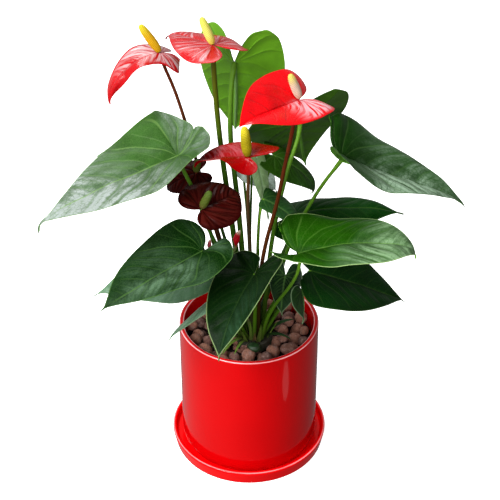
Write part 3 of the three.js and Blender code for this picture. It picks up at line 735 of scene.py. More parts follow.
def leafTopMaterial(name, look):
    material, tree, shader = newMaterial(name)
    flat = reading(tree, "flat", "Vector")
    edge, rib, along, field = (reading(tree, key) for key in ("edge", "rib", "along", "veinField"))
    patch = noisePattern(stretched(flat, (1, 1.8, 1)), 0.035, 4, 0.6)
    streak = noisePattern(alongVeins(tree, 2.8), 1, 4, 0.6)
    net = cellPattern(stretched(flat, (1, 1.3, 1)), 0.21)
    cells = cellPattern(flat, 0.55)
    grain = noisePattern(flat, 1.6, 4, 0.6)
    # painted sheen: a pale colour between the veins, in patches and streaks, that stands in for light
    # reflected off the quilted blade
    ahead = along
    if look["sideAhead"]:
        ahead = plus(along, times(sideShare(flat, look["paintedSheenSide"], 0), look["sideAhead"]))
    spread = ramp(ahead, look["paintedSheenFrom"], look["paintedSheenTo"])
    if look["lobePaintedSheen"]:
        spread = math2("MAXIMUM", spread, ramp(along, 0.02, -0.12, 0, look["lobePaintedSheen"]))
    paintedSheen = times(
        ramp(math2("PINGPONG", field, 0.5), 0.02, 0.30, 0.45, 1), spread, look["paintedSheenAmount"],
        ramp(patch, 0.32, 0.56, look["paintedSheenLeast"], 1), ramp(streak, 0.36, 0.62, look["streakLeast"], 1),
        ramp(net, 0.0, 0.14, look["netLeast"], 1),
    )
    if look["paintedSheenInner"]:
        paintedSheen = times(paintedSheen, ramp(edge, 1, look["paintedSheenInner"], 0.35, 1))
    if look["otherSide"] < 1:
        paintedSheen = times(paintedSheen, sideShare(flat, look["paintedSheenSide"], look["otherSide"]))
    fading = ramp(edge, 0.5, 9)
    side = times(veinMask(tree, 0, 0.95), fading, ramp(field, 0.3, 1.0, 1, 0.5))
    between = times(veinMask(tree, 0.5, 0.6), fading)
    middle = times(ramp(rib, 0.45, 1.25, 1, 0), ramp(along, 0.75, 1.0, 1, 0))
    vein, show = look["vein"], look["veinShow"]
    colour = layered(
        dimmed(look["green"], 0.62), (ramp(patch, 0.3, 0.7), look["green"]), (paintedSheen, look["paintedSheen"]),
        (ramp(cells, 0.0, 0.12, 0.12, 0), vein), (times(side, show), vein),
        (times(between, 0.4 * show), vein), (times(middle, min(1, 1.9 * show)), vein),
        (ramp(edge, 0.3, 1.15, look["hem"], 0), look.get("hemColour", vein)),
    )
    raised = plus(times(ramp(cells, 0, 0.35), 0.5), grain)
    raised = math2("SUBTRACT", raised, times(plus(side, between), 1.2))
    roughness = ramp(grain, 0.3, 0.7, look["roughness"] - 0.05, look["roughness"] + 0.08)
    dress(shader, colour, roughness, raised, 0.5, 0.00022, IOR=1.45, Specular_IOR_Level=look["specular"])
    return material


def leafUnderMaterial(name, look):
    material, tree, shader = newMaterial(name)
    flat = reading(tree, "flat", "Vector")
    shade = dimmed(look["under"], 0.72)
    colour = blendColours(ramp(noisePattern(flat, 0.04, 3), 0.3, 0.7), shade, look["under"])
    # painted shade: one half of the underside is darkened, as if less light came through it
    if look["litSide"]:
        colour = blendColours(sideShare(flat, look["litSide"], 0), dimmed(look["under"], 0.45), colour)
    side, middle = veinMask(tree, 0, 1.0), ramp(reading(tree, "rib"), 0.9, 2.0, 1, 0)
    colour = layered(
        colour, (ramp(cellPattern(flat, 0.5), 0.0, 0.14, 0.22, 0), shade), (times(side, 0.55), shade),
        (times(middle, 0.8), look.get("ribColour", dimmed(look["under"], 1.7))),
    )
    grain = noisePattern(flat, 1.4, 4, 0.6)
    dress(shader, colour, ramp(grain, 0.3, 0.7, 0.42, 0.58), plus(times(side, 1.5), grain), 0.5, 0.0002,
          IOR=1.45, Specular_IOR_Level=0.12)
    return material


# how the painted sheen may differ over one leaf
lookShape = {
    "paintedSheenLeast": 0.25, "streakLeast": 0.30, "netLeast": 0.7,  # the least left in patches, streaks and cells
    "sideAhead": 0,  # on one half it starts this much earlier
    "lobePaintedSheen": 0,  # how much of it comes back on the lobes
    "paintedSheenInner": 0,  # it thins out over this many mm towards the margin
    "otherSide": 1,  # its share on the other half
    "hem": 0.5,
    "litSide": 0,  # the half of the underside with more light coming through it, 1 left or -1 right
}

leafShape = {
    "lobe": -10, "ear": 0, "drip": 4, "hook": 15, "lobeEase": 1, "sideVeins": 5.2, "veinDrift": 0.30,
    "quilt": 0.8, "ripple": 1.3, "rippleSize": 30, "frill": 0.9, "waves": 9, "keel": 1,
    "stalkWidth": 1, "kneeShare": 1,  # of the stalk, and of its swelling under the blade
    "look": "deep", "own": {},  # its kind of surface, and what it changes in that
    "sinus": 1,  # less than 1 closes the gap between the lobes
    "earSides": (0, 0),  # degrees that the left and the right lobe are folded up on their own
    "tilt": (0, 0),  # degrees that the left and the right half are raised on their own
    "twist": (0, 0),  # and further degrees of it that come in towards the tip
    "halves": (1, 1),  # their widths, against the width given
    "backs": (1, 1),  # and the lengths of their lobes
    "lobeWide": (1, 1),  # and how wide the lobes are
}

leaves = {
    "left_broad": {
        "hub": (-64, 0, 331), "heading": 210, "pitch": -5, "roll": 7, "length": 139, "width": 55,
        "back": 39, "droop": 9, "curl": 15, "fold": 4, "cup": 4, "lobe": -55, "ear": 22, "full": (1.4, 0),
        "look": "silver", "stalkTint": 0.4, "quilt": 1.4, "seed": 1, "lobeEase": 0.4, "drip": 9, "hook": 70,
        "sinus": (-0.2, 0.3), "halves": (0.82, 0.93), "earSides": (-1, 5), "tilt": (0, 12),
        "backs": (0.88, 0.84), "lobeWide": (1.3, 1),
        "own": {
            "green": (0.028, 0.085, 0.013), "paintedSheen": (0.25, 0.285, 0.27), "paintedSheenAmount": 2.1,
            "paintedSheenFrom": 0.24, "paintedSheenTo": 0.95, "paintedSheenSide": 1, "sideAhead": 0.3, "specular": 0.08,
            "veinShow": 0.34, "paintedSheenLeast": 0.30, "streakLeast": 0.35, "lobePaintedSheen": 0.22, "netLeast": 0.5,
        },
    },
    "left_back": {
        "hub": (-62, 70, 304), "heading": 170, "pitch": -4, "roll": 8, "length": 86, "width": 26,
        "back": 18, "droop": 18, "curl": 5, "fold": 0, "cup": 24, "ear": 15, "full": 0.8, "look": "pale",
        "stalkTint": 0.3, "seed": 2,
    },
    "left_low": {
        "hub": (-43, -36, 252), "heading": 222, "pitch": -1, "roll": 0, "length": 112, "width": 44,
        "back": 25, "droop": 6, "curl": 4, "fold": 20, "cup": 28, "lobe": -48, "ear": 14, "full": 0.6,
        "stalkTint": 0.5, "seed": 3, "backs": (1, 0.82),
        "own": {
            "green": (0.002, 0.019, 0.0013), "paintedSheen": (0.085, 0.155, 0.088), "paintedSheenAmount": 1.6,
            "streakLeast": 0.5, "paintedSheenFrom": 0.04, "paintedSheenTo": 0.42, "paintedSheenSide": 1, "otherSide": 0.26,
            "paintedSheenInner": 22, "specular": 0.005, "lobePaintedSheen": 0.45,
        },
    },
    "left_under": {
        "hub": (-54, -8, 211), "heading": 199, "pitch": 3, "roll": -15, "length": 92, "width": 36,
        "back": 18, "droop": 16, "curl": 6, "fold": 6, "cup": 28, "lobe": -5, "ear": 20, "full": 0.2,
        "look": "pale", "stalkTint": 0.6, "seed": 4,
    },
    "front": {
        "hub": (5, -49, 236), "heading": 241, "pitch": -12, "roll": 16, "length": 88, "width": 33,
        "back": 23, "droop": 31, "curl": 2, "fold": 18, "cup": 0, "lobe": -5, "ear": 3, "full": 0.7,
        "stalkTint": 0.9, "seed": 5, "sinus": 0.5,
        "own": {
            "green": (0.0016, 0.0115, 0.0014), "paintedSheen": (0.025, 0.065, 0.032), "paintedSheenAmount": 0.7,
            "paintedSheenSide": 1, "otherSide": 0.0, "specular": 0.04, "hem": 0.8, "hemColour": (0.20, 0.29, 0.11),
            "vein": (0.03, 0.07, 0.015), "veinShow": 0.16,
        },
    },
    "right_top": {
        "hub": (83, 0, 327), "heading": 2, "pitch": -19, "roll": 1, "length": 125, "width": 52, "back": 32,
        "droop": 6, "curl": 12, "fold": 25, "cup": 34, "lobe": -39, "ear": 18, "full": 0.2,
        "stalkTint": 0.45, "stalkWidth": 0.95, "seed": 6, "sinus": (2.1, 1.3), "quilt": 1.5,
        "own": {
            "green": (0.009, 0.052, 0.003), "paintedSheen": (0.24, 0.35, 0.24), "paintedSheenAmount": 2.1,
            "paintedSheenSide": -1, "netLeast": 0.5, "otherSide": 0.24, "paintedSheenFrom": 0.0, "paintedSheenTo": 0.5,
            "specular": 0.05, "vein": (0.075, 0.16, 0.04), "veinShow": 0.4,
        },
    },
    "right_broad": {
        "hub": (46, -46, 257), "heading": -3, "pitch": 22, "roll": 1, "length": 110, "width": 41,
        "back": 27, "droop": 34, "curl": 55, "fold": 14, "cup": 20, "lobe": -42, "ear": 30,
        "full": (1.1, 1.9), "look": "bright", "stalkTint": 0.9, "seed": 7, "stalkWidth": 0.72,
        "sinus": (2.2, 0.8), "backs": (1, 1.25), "halves": (1, 0.86), "earSides": (0, -6), "quilt": 1.3,
        "own": {
            "green": (0.009, 0.060, 0.0006), "paintedSheen": (0.20, 0.33, 0.17), "paintedSheenAmount": 1.5,
            "paintedSheenFrom": 0.40, "paintedSheenTo": 0.95, "paintedSheenSide": -1, "sideAhead": 0.22, "specular": 0.02,
            "veinShow": 0.26, "streakLeast": 0.3, "paintedSheenLeast": 0.7, "vein": (0.09, 0.21, 0.03), "hem": 0.7,
            "hemColour": (0.30, 0.45, 0.16),
        },
    },
    "right_behind": {
        "hub": (44, 42, 242), "heading": -2, "pitch": 17, "roll": 1, "length": 103, "width": 34, "back": 22,
        "droop": 30, "curl": 0, "fold": 0, "cup": 30, "full": 0.6, "look": "dark", "stalkTint": 0.3,
        "seed": 8,
        "own": {
            "green": (0.0014, 0.030, 0.002), "paintedSheenAmount": 0.05, "specular": 0.02,
        },
    },
    "right_low": {
        "hub": (58, -10, 212), "heading": 10, "pitch": -23, "roll": 20, "length": 106, "width": 42,
        "back": 18, "droop": 10, "curl": 2, "fold": 14, "cup": 20, "lobe": -8, "full": 0.5, "look": "dark",
        "stalkTint": 0.6, "seed": 9, "backs": (1, 0.75),
    },
    "back_high": {
        "hub": (-13, 50, 399), "heading": 86, "pitch": -50, "roll": 10, "length": 110, "width": 46,
        "back": 34, "droop": 26, "curl": 4, "fold": 22, "cup": 0, "lobe": -22, "ear": 16, "full": 1,
        "look": "bright", "stalkTint": 0.5, "seed": 10, "backs": (1, 1.12), "halves": (0.94, 1),
        "stalkWidth": 1.2,
        "own": {
            # the bright underside is partly the leaf's own green and partly painted light shining through the
            # blade
            "under": (0.22, 0.58, 0.026), "litSide": -1, "ribColour": (0.20, 0.38, 0.12),
        },
    },
    "back_right": {
        "hub": (47, 36, 346), "heading": 88, "pitch": -46, "roll": -22, "length": 92, "width": 51,
        "back": 31, "droop": 16, "curl": 16, "fold": 10, "cup": 4, "lobe": -16, "full": 0.2,
        "stalkTint": 0.5, "seed": 11, "backs": (1, 1.15), "sinus": 0.6,
        "own": {"under": (0.060, 0.165, 0.013)},
    },
    "middle_right": {
        "hub": (24, 31, 313), "heading": 0, "pitch": -24, "roll": 12, "length": 62, "width": 22, "back": 12,
        "droop": 46, "curl": 50, "fold": 5, "cup": 38, "ear": 5, "full": 0.6, "stalkTint": 0.6, "seed": 12,
        "backs": (1, 1.7),
        "own": {
            "green": (0.020, 0.072, 0.003), "specular": 0.02, "paintedSheenAmount": 0.3,
        },
    },
    "middle_back": {
        "hub": (-6, 46, 297), "heading": -12, "pitch": -34, "roll": 12, "length": 42, "width": 19,
        "back": 15, "droop": 10, "curl": 10, "fold": 5, "cup": 5, "ear": 5, "full": (1.5, 0.9),
        "look": "pale", "stalkTint": 0.4, "seed": 13, "halves": (0.95, 1.05),
        "own": {
            # painted light: these whitish greens stand in for the sheen reflected off this leaf and make up
            # for the shade it lies in
            "green": (0.52, 0.66, 0.56), "paintedSheen": (0.80, 0.92, 0.86), "paintedSheenAmount": 1.1, "paintedSheenTo": 0.2,
        },
    },
    "middle_small": {
        "hub": (13, -8, 291), "heading": -14, "pitch": -18, "roll": 24, "length": 46, "width": 16,
        "back": 2, "droop": 52, "curl": 18, "fold": 4, "cup": 40, "full": 1.2, "stalkTint": 0.7,
        "quilt": 0.25, "ripple": 0.5, "frill": 0.3, "seed": 14, "halves": (1, 0.6),
    },
    "low_left": {
        "hub": (-24, -50, 216), "heading": 206, "pitch": -23, "roll": 30, "length": 63, "width": 17,
        "back": 10, "droop": 14, "curl": 0, "fold": 2, "cup": 26, "full": 0.7, "look": "pale",
        "stalkTint": 0.8, "quilt": 0.3, "ripple": 0.7, "frill": 0.4, "seed": 15,
    },
    "low_front": {
        "hub": (34, -20, 213), "heading": -110, "pitch": -58, "roll": 12, "length": 37, "width": 17,
        "back": 14, "droop": 20, "curl": 8, "fold": 5, "cup": 25, "full": 0.3, "stalkTint": 0.5,
        "quilt": 0.25, "ripple": 0.5, "frill": 0.3, "seed": 16,
        "own": {
            "green": (0.002, 0.016, 0.004), "hem": 0.9, "hemColour": (0.16, 0.24, 0.12), "paintedSheenAmount": 0.2,
        },
    },
    "low_right": {
        "hub": (49, -30, 203), "heading": -62, "pitch": -68, "roll": -20, "length": 29, "width": 11,
        "back": 9, "droop": 15, "curl": 0, "fold": 20, "cup": 18, "full": 0.3, "drip": 6, "stalkTint": 0.6,
        "quilt": 0.25, "ripple": 0.5, "frill": 0.3, "seed": 17, "halves": (0.15, 1.6),
        "own": {
            "green": (0.012, 0.040, 0.010), "hem": 0.9, "hemColour": (0.20, 0.30, 0.16), "paintedSheenAmount": 0.3,
        },
    },
}


def growBlade(leafName, leaf, replaced):
    look = {**lookShape, **leafLooks[leaf["look"]], **leaf["own"]}
    looks = [leafTopMaterial("top_" + leafName, look), leafUnderMaterial("under_" + leafName, look)]
    bladePiece("blade_" + leafName, leaf, looks, replaced)


leaves = {leafName: {**leafShape, **leaf} for leafName, leaf in leaves.items()}
for leafName, leaf in leaves.items():
    growBlade(leafName, leaf, ("leaf_" + leafName,))
print("leaves grown:", len(leaves))

# a young leaf that hangs straight down among the stalks
youngLeaf = {
    **leafShape, "hub": (7.4, 15, 319), "heading": -10, "pitch": -79, "roll": 60, "length": 66, "width": 8,
    "back": 7, "droop": 8, "curl": 0, "fold": 10, "cup": 40, "full": 0.3,
    "quilt": 0.3, "ripple": 0.8, "frill": 0.4, "look": "pale", "seed": 18, "stalkRadii": (1.5, 1.0),
    "own": {
        "green": (0.19, 0.33, 0.11), "paintedSheen": (0.44, 0.56, 0.38), "paintedSheenFrom": -0.2, "paintedSheenTo": 0.9,
        "paintedSheenAmount": 1,
    },
    "stalk": [(3, 0, 132), (1, 10, 200), (2, 22, 270), (4, 21.5, 310), (7.4, 15.6, 319)],
}
growBlade("young", youngLeaf, ())


# stalks follow the middle of the CAD rods
stalkShape = {
    "sides": 14,
    "step": 3,  # mm between two rings
    "ease": 5,  # rings over which a stalk's bends are evened out
    "foot": 0.95,  # thickness at the foot and at the top, against the rod's
    "top": 0.72,
    "knee": 0.25,  # how much the last stretch under a leaf swells
    "kneeLength": 15,
}


# Centres of the rings of six corners that a CAD rod is made of, from the foot up, in mm.
def rodCentres(nodeName):
    mesh = cad[nodeName].data
    places = np.array([v.co for v in mesh.vertices]) / mm
    _, first, group = np.unique(np.round(places * 50), axis=0, return_index=True, return_inverse=True)
    group = group.ravel()
    corners = places[first]
    neighbours = [set() for _ in corners]
    for edge in mesh.edges:
        a, b = (int(group[v]) for v in edge.vertices)
        if a != b:
            neighbours[a].add(b)
            neighbours[b].add(a)
    ring = set(np.argsort(corners[:, 2])[:6].tolist())
    seen = set(ring)
    centres = []
    while len(ring) == 6:
        centres.append(corners[sorted(ring)].mean(axis=0))
        ring = set().union(*(neighbours[k] for k in ring)) - seen
        seen |= ring
    radius = np.linalg.norm(corners[sorted(np.argsort(corners[:, 2])[:6])] - centres[0], axis=1).mean()
    return np.array(centres), radius


# The path with its small wiggles taken out, ends kept where they are.
def eased(path, steps):
    reach = min(3 * steps, len(path) - 2)
    padded = np.vstack([2 * path[0] - path[reach:0:-1], path, 2 * path[-1] - path[-2 : -reach - 2 : -1]])
    weights = np.exp(-0.5 * (np.arange(-reach, reach + 1) / steps) ** 2)
    weights /= weights.sum()
    return np.column_stack([np.convolve(padded[:, k], weights, "valid") for k in range(3)])


# A round tube along a path, closed by a small dome at each end.
def tubeNet(path, radii, sides):
    ahead = np.gradient(path, axis=0)
    ahead /= np.linalg.norm(ahead, axis=1)[:, None]
    across = unit(np.cross(ahead[0], (0.3, 1, 0.1)))
    points = [path[0] - 0.2 * radii[0] * ahead[0]]
    for centre, direction, radius in zip(path, ahead, radii):
        across = unit(across - direction * (across @ direction))
        other = np.cross(direction, across)
        points += [centre + radius * (across * x + other * y) for x, y in circle(sides)]
    points.append(path[-1] + 0.3 * radii[-1] * ahead[-1])
    last = len(points) - 1
    faces = ringFaces(len(path), sides, 1)
    for k in range(sides):
        n = (k + 1) % sides
        faces += [[0, 1 + n, 1 + k], [last - sides + k, last - sides + n, last]]
    return np.array(points), faces


def stalkMaterial(name, foot, middle, top, freckle):
    material, tree, shader = newMaterial(name)
    up = reading(tree, "up")
    streak = noisePattern(stretched(objectPlace(tree), (900, 900, 60)), 1, 3)
    colour = layered(
        foot, (ramp(up, 0.0, 0.35), middle), (ramp(up, 0.55, 1.0), top),
        (ramp(streak, 0.45, 0.75, 0, freckle), dimmed(middle, 0.6)),
    )
    dress(shader, colour, ramp(streak, 0.3, 0.7, 0.34, 0.48), streak, 0.3, 0.0002,
          IOR=1.45, Specular_IOR_Level=0.12)
    return material


leafStalkColours = {  # foot, middle, top; a leaf's stalkTint says how fresh its stalk is
    "fresh": ((0.045, 0.085, 0.008), (0.075, 0.190, 0.008), (0.150, 0.330, 0.018)),
    "old": ((0.016, 0.034, 0.005), (0.013, 0.050, 0.004), (0.035, 0.100, 0.008)),
}


def stalkFrom(name, path, radii, material, replaced):
    sides = stalkShape["sides"]
    points, faces = tubeNet(path, radii, sides)
    up = np.concatenate([[0], np.repeat(np.linspace(0, 1, len(path)), sides), [1]])
    return makePiece(name, points, faces, [material], replaced, data={"up": up})


def stalkPiece(name, nodeName, material, blade):
    centres, rodRadius = rodCentres(nodeName)
    centres = np.vstack([centres, centres[-1] + bladeAxes(blade)[2] * 0.9])
    length = np.linalg.norm(np.diff(centres, axis=0), axis=1).sum()
    path = eased(softCurve(centres, max(8, int(length / stalkShape["step"]))), stalkShape["ease"])
    up = np.linspace(0, 1, len(path))
    reach = stalkShape["kneeLength"]
    knee = smoothStep(up * length, length - reach, length - 0.35 * reach)
    radii = rodRadius * (stalkShape["foot"] + (stalkShape["top"] - stalkShape["foot"]) * up**0.7)
    radii = radii * blade["stalkWidth"] * (1 + stalkShape["knee"] * knee * blade["kneeShare"])
    return stalkFrom(name, path, radii, material, (nodeName,))


fresh, old = leafStalkColours["fresh"], leafStalkColours["old"]
for leafName, leaf in leaves.items():
    share = leaf["stalkTint"]
    shades = [tuple(o + (f - o) * share for o, f in zip(a, b)) for a, b in zip(old, fresh)]
    material = stalkMaterial("petiole_" + leafName, *shades, 0.35)
    stalkPiece("petiole_" + leafName, "stalk_" + leafName, material, leaf)
path = softCurve(youngLeaf["stalk"], 60)
material = stalkMaterial("petiole_young", *old, 0.35)
stalkFrom("petiole_young", path, np.linspace(*youngLeaf["stalkRadii"], len(path)), material, ())
print("leaf stalks drawn")


# flowers: a waxy collar, the spike on it and a long stalk
flowerShape = {
    **leafShape, "quilt": 0.35, "ripple": 1.0, "rippleSize": 22, "frill": 0.5, "sideVeins": 4,
    "veinDrift": 0.35, "keel": 0.6, "kneeShare": 0.3, "drip": 1.5, "hook": 0,
    "sheen": 0, "streaks": (0.40, 0.56),  # how much painted sheen lies on it, and how broad its streaks are
    "sheenSide": 0, "sheenWide": 0, "sheenFrom": -2, "sheenTo": -1,  # and where it lies
}

flowers = {
    "top_left": {
        "hub": (-78, 25, 421), "heading": 203, "pitch": 4, "roll": 0, "length": 70, "width": 25, "back": 19,
        "droop": 84, "curl": 22, "fold": 0, "cup": 4, "lobe": 34, "ear": -3, "full": (0.8, 0.5),
        "gloss": 0.3, "stalk": "brown", "halves": (0.50, 0.95), "colour": "shadedRed", "seed": 21,
        "sheen": 1.0, "sheenColour": (0.46, 0.28, 0.29), "sheenSide": -1, "sheenWide": 0.3,
        "sheenFrom": 0.72, "sheenTo": 0.36, "twist": (-75, 0), "earSides": (-30, 0), "backs": (1.7, 0.9),
        "sinus": 1.2, "lobeWide": (1.6, 1),
        "spike": {
            "length": 30, "radius": 4, "axis": (-0.54, 0, 0.85), "colours": "golden",
        },
    },
    "top_middle": {
        "hub": (-31, 8, 437), "heading": 135, "pitch": -3, "roll": 3, "length": 63, "width": 30, "back": 24,
        "droop": 12, "curl": 42, "fold": 3, "cup": 23, "lobe": 0, "ear": -5, "full": -0.1, "gloss": 0.12,
        "stalk": "olive", "colour": "shadedRed", "ripple": 1.8, "seed": 22, "sheen": 0.75,
        "sheenColour": (0.44, 0.26, 0.28), "streaks": (0.53, 0.61), "stalkWidth": 1.5,
        "spike": {
            "length": 26, "radius": 3.8, "axis": (-0.36, 0.05, 0.92), "colours": "cream",
        },
    },
    "right": {
        "hub": (42, -30, 404), "heading": 230, "pitch": 8, "roll": -23, "length": 75, "width": 31,
        "back": 24, "droop": 0, "curl": 43, "fold": 30, "cup": 28, "lobe": 33, "ear": 1, "full": 1.1,
        "gloss": 0.1, "stalk": "russet", "colour": "red", "ripple": 0.8, "quilt": 0.2, "seed": 23,
        "sheen": 1.0, "sheenSide": 1, "sheenFrom": 0.42, "sheenTo": 0.05,
        "spike": {
            "length": 24, "radius": 3.9, "axis": (-0.36, 0, 0.93), "colours": "rose",
        },
    },
    "middle": {
        "hub": (-1, -40, 354), "heading": 155, "pitch": -12, "roll": 8, "length": 56, "width": 27,
        "back": 26, "droop": 15, "curl": 35, "fold": 20, "cup": 26, "ear": -12, "full": 0.8, "gloss": 0.06,
        "stalk": "dull", "colour": "crimson", "ripple": 0.8, "seed": 24, "earSides": (-75, 0),
        "halves": (0.62, 0.85), "backs": (0.35, 0.95), "tilt": (0, 10), "sheen": 0.32, "sheenSide": -1,
        "sheenFrom": -0.1, "sheenTo": 0.3,
        "spike": {
            "length": 29, "radius": 4.5, "axis": (-0.1, 0, 1), "colours": "ripening",
        },
    },
    "low": {
        "hub": (-42, -36, 298), "heading": 33, "pitch": 12, "roll": 18, "length": 42, "width": 29,
        "back": 15, "droop": 22, "curl": 8, "fold": 1, "cup": 22, "lobe": -11, "ear": 6, "full": (1.4, 1.6),
        "gloss": 0.02, "stalk": "green", "colour": "maroon", "quilt": 1.7, "ripple": 1.8, "seed": 25,
        "sheen": 0.3, "halves": (0.95, 0.88), "backs": (0.9, 0.75), "tilt": (3, 0),
        "spike": {
            "length": 18, "radius": 3.7, "axis": (0.45, 0.2, 0.87), "colours": "green",
        },
    },
    "low_back": {
        "hub": (-49, 18, 303), "heading": 196, "pitch": -10, "roll": -31, "length": 36, "width": 16,
        "back": 13, "droop": 60, "curl": 30, "fold": 4, "cup": 40, "lobe": -5, "full": 0.9, "gloss": 0.02,
        "stalk": "brown", "colour": "maroon", "quilt": 1.2, "ripple": 1.5, "seed": 26, "sheen": 0.3,
        "spike": {
            "length": 13, "radius": 3.4, "axis": (0.2, 0.1, 0.95), "colours": "green",
        },
    },
}

collarColours = {
    "red": {
        "top": (0.80, 0.0012, 0.005), "deep": (0.56, 0.001, 0.003), "vein": (0.50, 0.001, 0.003),
        "under": (0.52, 0.004, 0.008), "sheen": (0.74, 0.38, 0.42), "roughness": 0.24,
    },
    # the collars' red made darker for the flowers that stand in stronger light, as painted shade
    "shadedRed": {
        "top": (0.39, 0.0008, 0.003), "deep": (0.32, 0.0006, 0.002), "vein": (0.27, 0.0008, 0.002),
        "under": (0.36, 0.002, 0.004), "sheen": (0.44, 0.17, 0.20), "roughness": 0.24,
    },
    "crimson": {
        "top": (0.27, 0.0005, 0.001), "deep": (0.22, 0.0004, 0.001), "vein": (0.20, 0.0006, 0.0015),
        "under": (0.30, 0.003, 0.006), "sheen": (0.52, 0.15, 0.18), "roughness": 0.24,
    },
    "maroon": {
        "top": (0.030, 0.0013, 0.0009), "deep": (0.014, 0.0007, 0.0005), "vein": (0.006, 0.0005, 0.0004),
        "under": (0.050, 0.0030, 0.002), "sheen": (0.10, 0.014, 0.010), "roughness": 0.28, "specular": 0.02,
    },
}

spikeColours = {  # foot, middle, tip
    "golden": ((0.55, 0.30, 0.004), (0.54, 0.29, 0.003), (0.56, 0.47, 0.020)),
    "cream": ((0.64, 0.45, 0.05), (0.62, 0.57, 0.12), (0.60, 0.58, 0.08)),
    "rose": ((0.50, 0.31, 0.21), (0.51, 0.39, 0.30), (0.60, 0.52, 0.07)),
    "ripening": ((0.17, 0.10, 0.002), (0.30, 0.235, 0.002), (0.60, 0.50, 0.020)),
    "green": ((0.075, 0.060, 0.010), (0.062, 0.088, 0.007), (0.064, 0.110, 0.014)),
}


def collarMaterial(name, colours, flower, onTop):
    material, tree, shader = newMaterial(name)
    flat = reading(tree, "flat", "Vector")
    edge, along = reading(tree, "edge"), reading(tree, "along")
    side = times(veinMask(tree, 0, 1.1), ramp(edge, 0.5, 8))
    middle = times(ramp(reading(tree, "rib"), 0.4, 1.3, 1, 0), ramp(along, 0.6, 0.95, 1, 0))
    lines = math2("MAXIMUM", side, middle)
    colour = layered(
        colours["deep"], (ramp(noisePattern(flat, 0.05, 3), 0.3, 0.72), colours["top" if onTop else "under"]),
        (times(lines, 0.5), colours["vein"]), (ramp(edge, 0.2, 2.2, 0.45, 0), colours["deep"]),
    )
    if onTop and flower["sheen"]:  # painted sheen: lighter streaks along the collar
        streak = noisePattern(alongVeins(tree, 5), 1, 3, 0.55)
        sheen = times(
            ramp(streak, *flower["streaks"]), flower["sheen"], ramp(edge, 0.8, 5),
            ramp(reading(tree, "veinGap"), 1, 5), ramp(along, flower["sheenFrom"], flower["sheenTo"]),
        )
        if flower["sheenSide"]:
            part = sideShare(flat, flower["sheenSide"], 0, 4)
            wide = flower["sheenWide"]
            if wide:  # by the stalk it lies on both halves
                part = math2("MAXIMUM", part, ramp(along, wide, wide - 0.25))
            sheen = times(sheen, part)
        sheen = times(sheen, ramp(lines, 0, 1, 1, 0.4))
        colour = blendColours(sheen, colour, flower.get("sheenColour", colours["sheen"]))
    grain = noisePattern(flat, 1.1, 4, 0.6)
    low = colours["roughness"] + (0 if onTop else 0.1)
    raised = plus(times(ramp(cellPattern(flat, 0.35), 0, 0.4), 0.6), grain)
    raised = math2("SUBTRACT", raised, times(lines, 1.5))
    gloss = flower["gloss"]
    specular = colours.get("specular", 0.08) + 0.3 * gloss
    dress(shader, colour, ramp(grain, 0.3, 0.7, low - 0.04, low + 0.08), raised, 0.5, 0.00025,
          IOR=1.45, Coat_Weight=gloss, Coat_Roughness=0.12, Specular_IOR_Level=specular)
    return material


spikeShape = {
    "around": 84,
    "up": 150,
    "bump": 0.24,  # mm
    "spirals": (8, 13),
    "pitch": 1.55,  # mm from bump to bump up the spike, or so
}


def spikeMaterial(name, foot, middle, tip):
    material, tree, shader = newMaterial(name)
    up, bump = reading(tree, "up"), reading(tree, "bump")
    colour = layered(
        foot, (ramp(up, 0.0, 0.35), middle), (ramp(up, 0.5, 0.95), tip),
        # darker in the hollows between the bumps as painted shade, and lighter on their tops
        (ramp(bump, -0.5, 0.3, 0.55, 0), dimmed(middle, 0.45)),
        (ramp(bump, 0.55, 1.0, 0, 0.3), dimmed(middle, 1.3)),
    )
    fine = noisePattern(objectPlace(tree), 1400, 3)
    dress(shader, colour, ramp(fine, 0.3, 0.7, 0.5, 0.68), fine, 0.4, 0.0002, Specular_IOR_Level=0.12)
    return material


def spikePiece(name, flower, nodeName):
    spike = flower["spike"]
    length, radius = spike["length"], spike["radius"]
    corners = [(0.45, 0.1 / length), (0.8, 0.1), (1, 0.3), (0.95, 0.6), (0.78, 0.85), (0.45, 0.97), (0, 1)]
    profile = softCurve([(0, 0)] + [(radius * r, length * z) for r, z in corners], spikeShape["up"])
    up = Vector(spike["axis"]).normalized()
    turn = np.array(Vector((0, 0, 1)).rotation_difference(up).to_matrix())
    place, face = bend(flower, np.array([0.0]), np.array([0.0]))
    tilt = math.acos(float(np.clip(np.dot(up, face[0]), -1, 1)))
    valley = max(0, math.radians(flower["fold"] + flower["ear"]))
    seat = radius * 0.45 * (math.sin(tilt) + math.tan(valley))
    foot = place[0] + face[0] * (0.25 + seat)
    left, right = spikeShape["spirals"]
    around = spikeShape["around"]
    theta = 2 * math.pi * np.arange(around) / around
    points, bumps = [], []
    for r, z in profile:
        pitchUp = 2 * math.pi * z / spikeShape["pitch"]
        bump = np.cos(left * theta + pitchUp * 0.62) * np.cos(right * theta - pitchUp * 0.38)
        bump = np.abs(bump) ** 0.7 * np.sign(bump)
        fade = min(1, r / (0.3 * radius))
        reach = r + spikeShape["bump"] * (bump - 0.6) * fade
        points.append(np.column_stack([reach * np.cos(theta), reach * np.sin(theta), np.full(around, z)]))
        bumps.append(bump * fade)
    placed = np.vstack(points) @ turn.T + foot
    extras = {"up": np.repeat(profile[:, 1] / length, around), "bump": np.concatenate(bumps)}
    placed, faces, _, extras = weldPoints(placed, ringFaces(len(profile), around), extras)
    material = spikeMaterial(name, *spikeColours[spike["colours"]])
    return makePiece(name, placed, faces, [material], (nodeName,), data=extras)


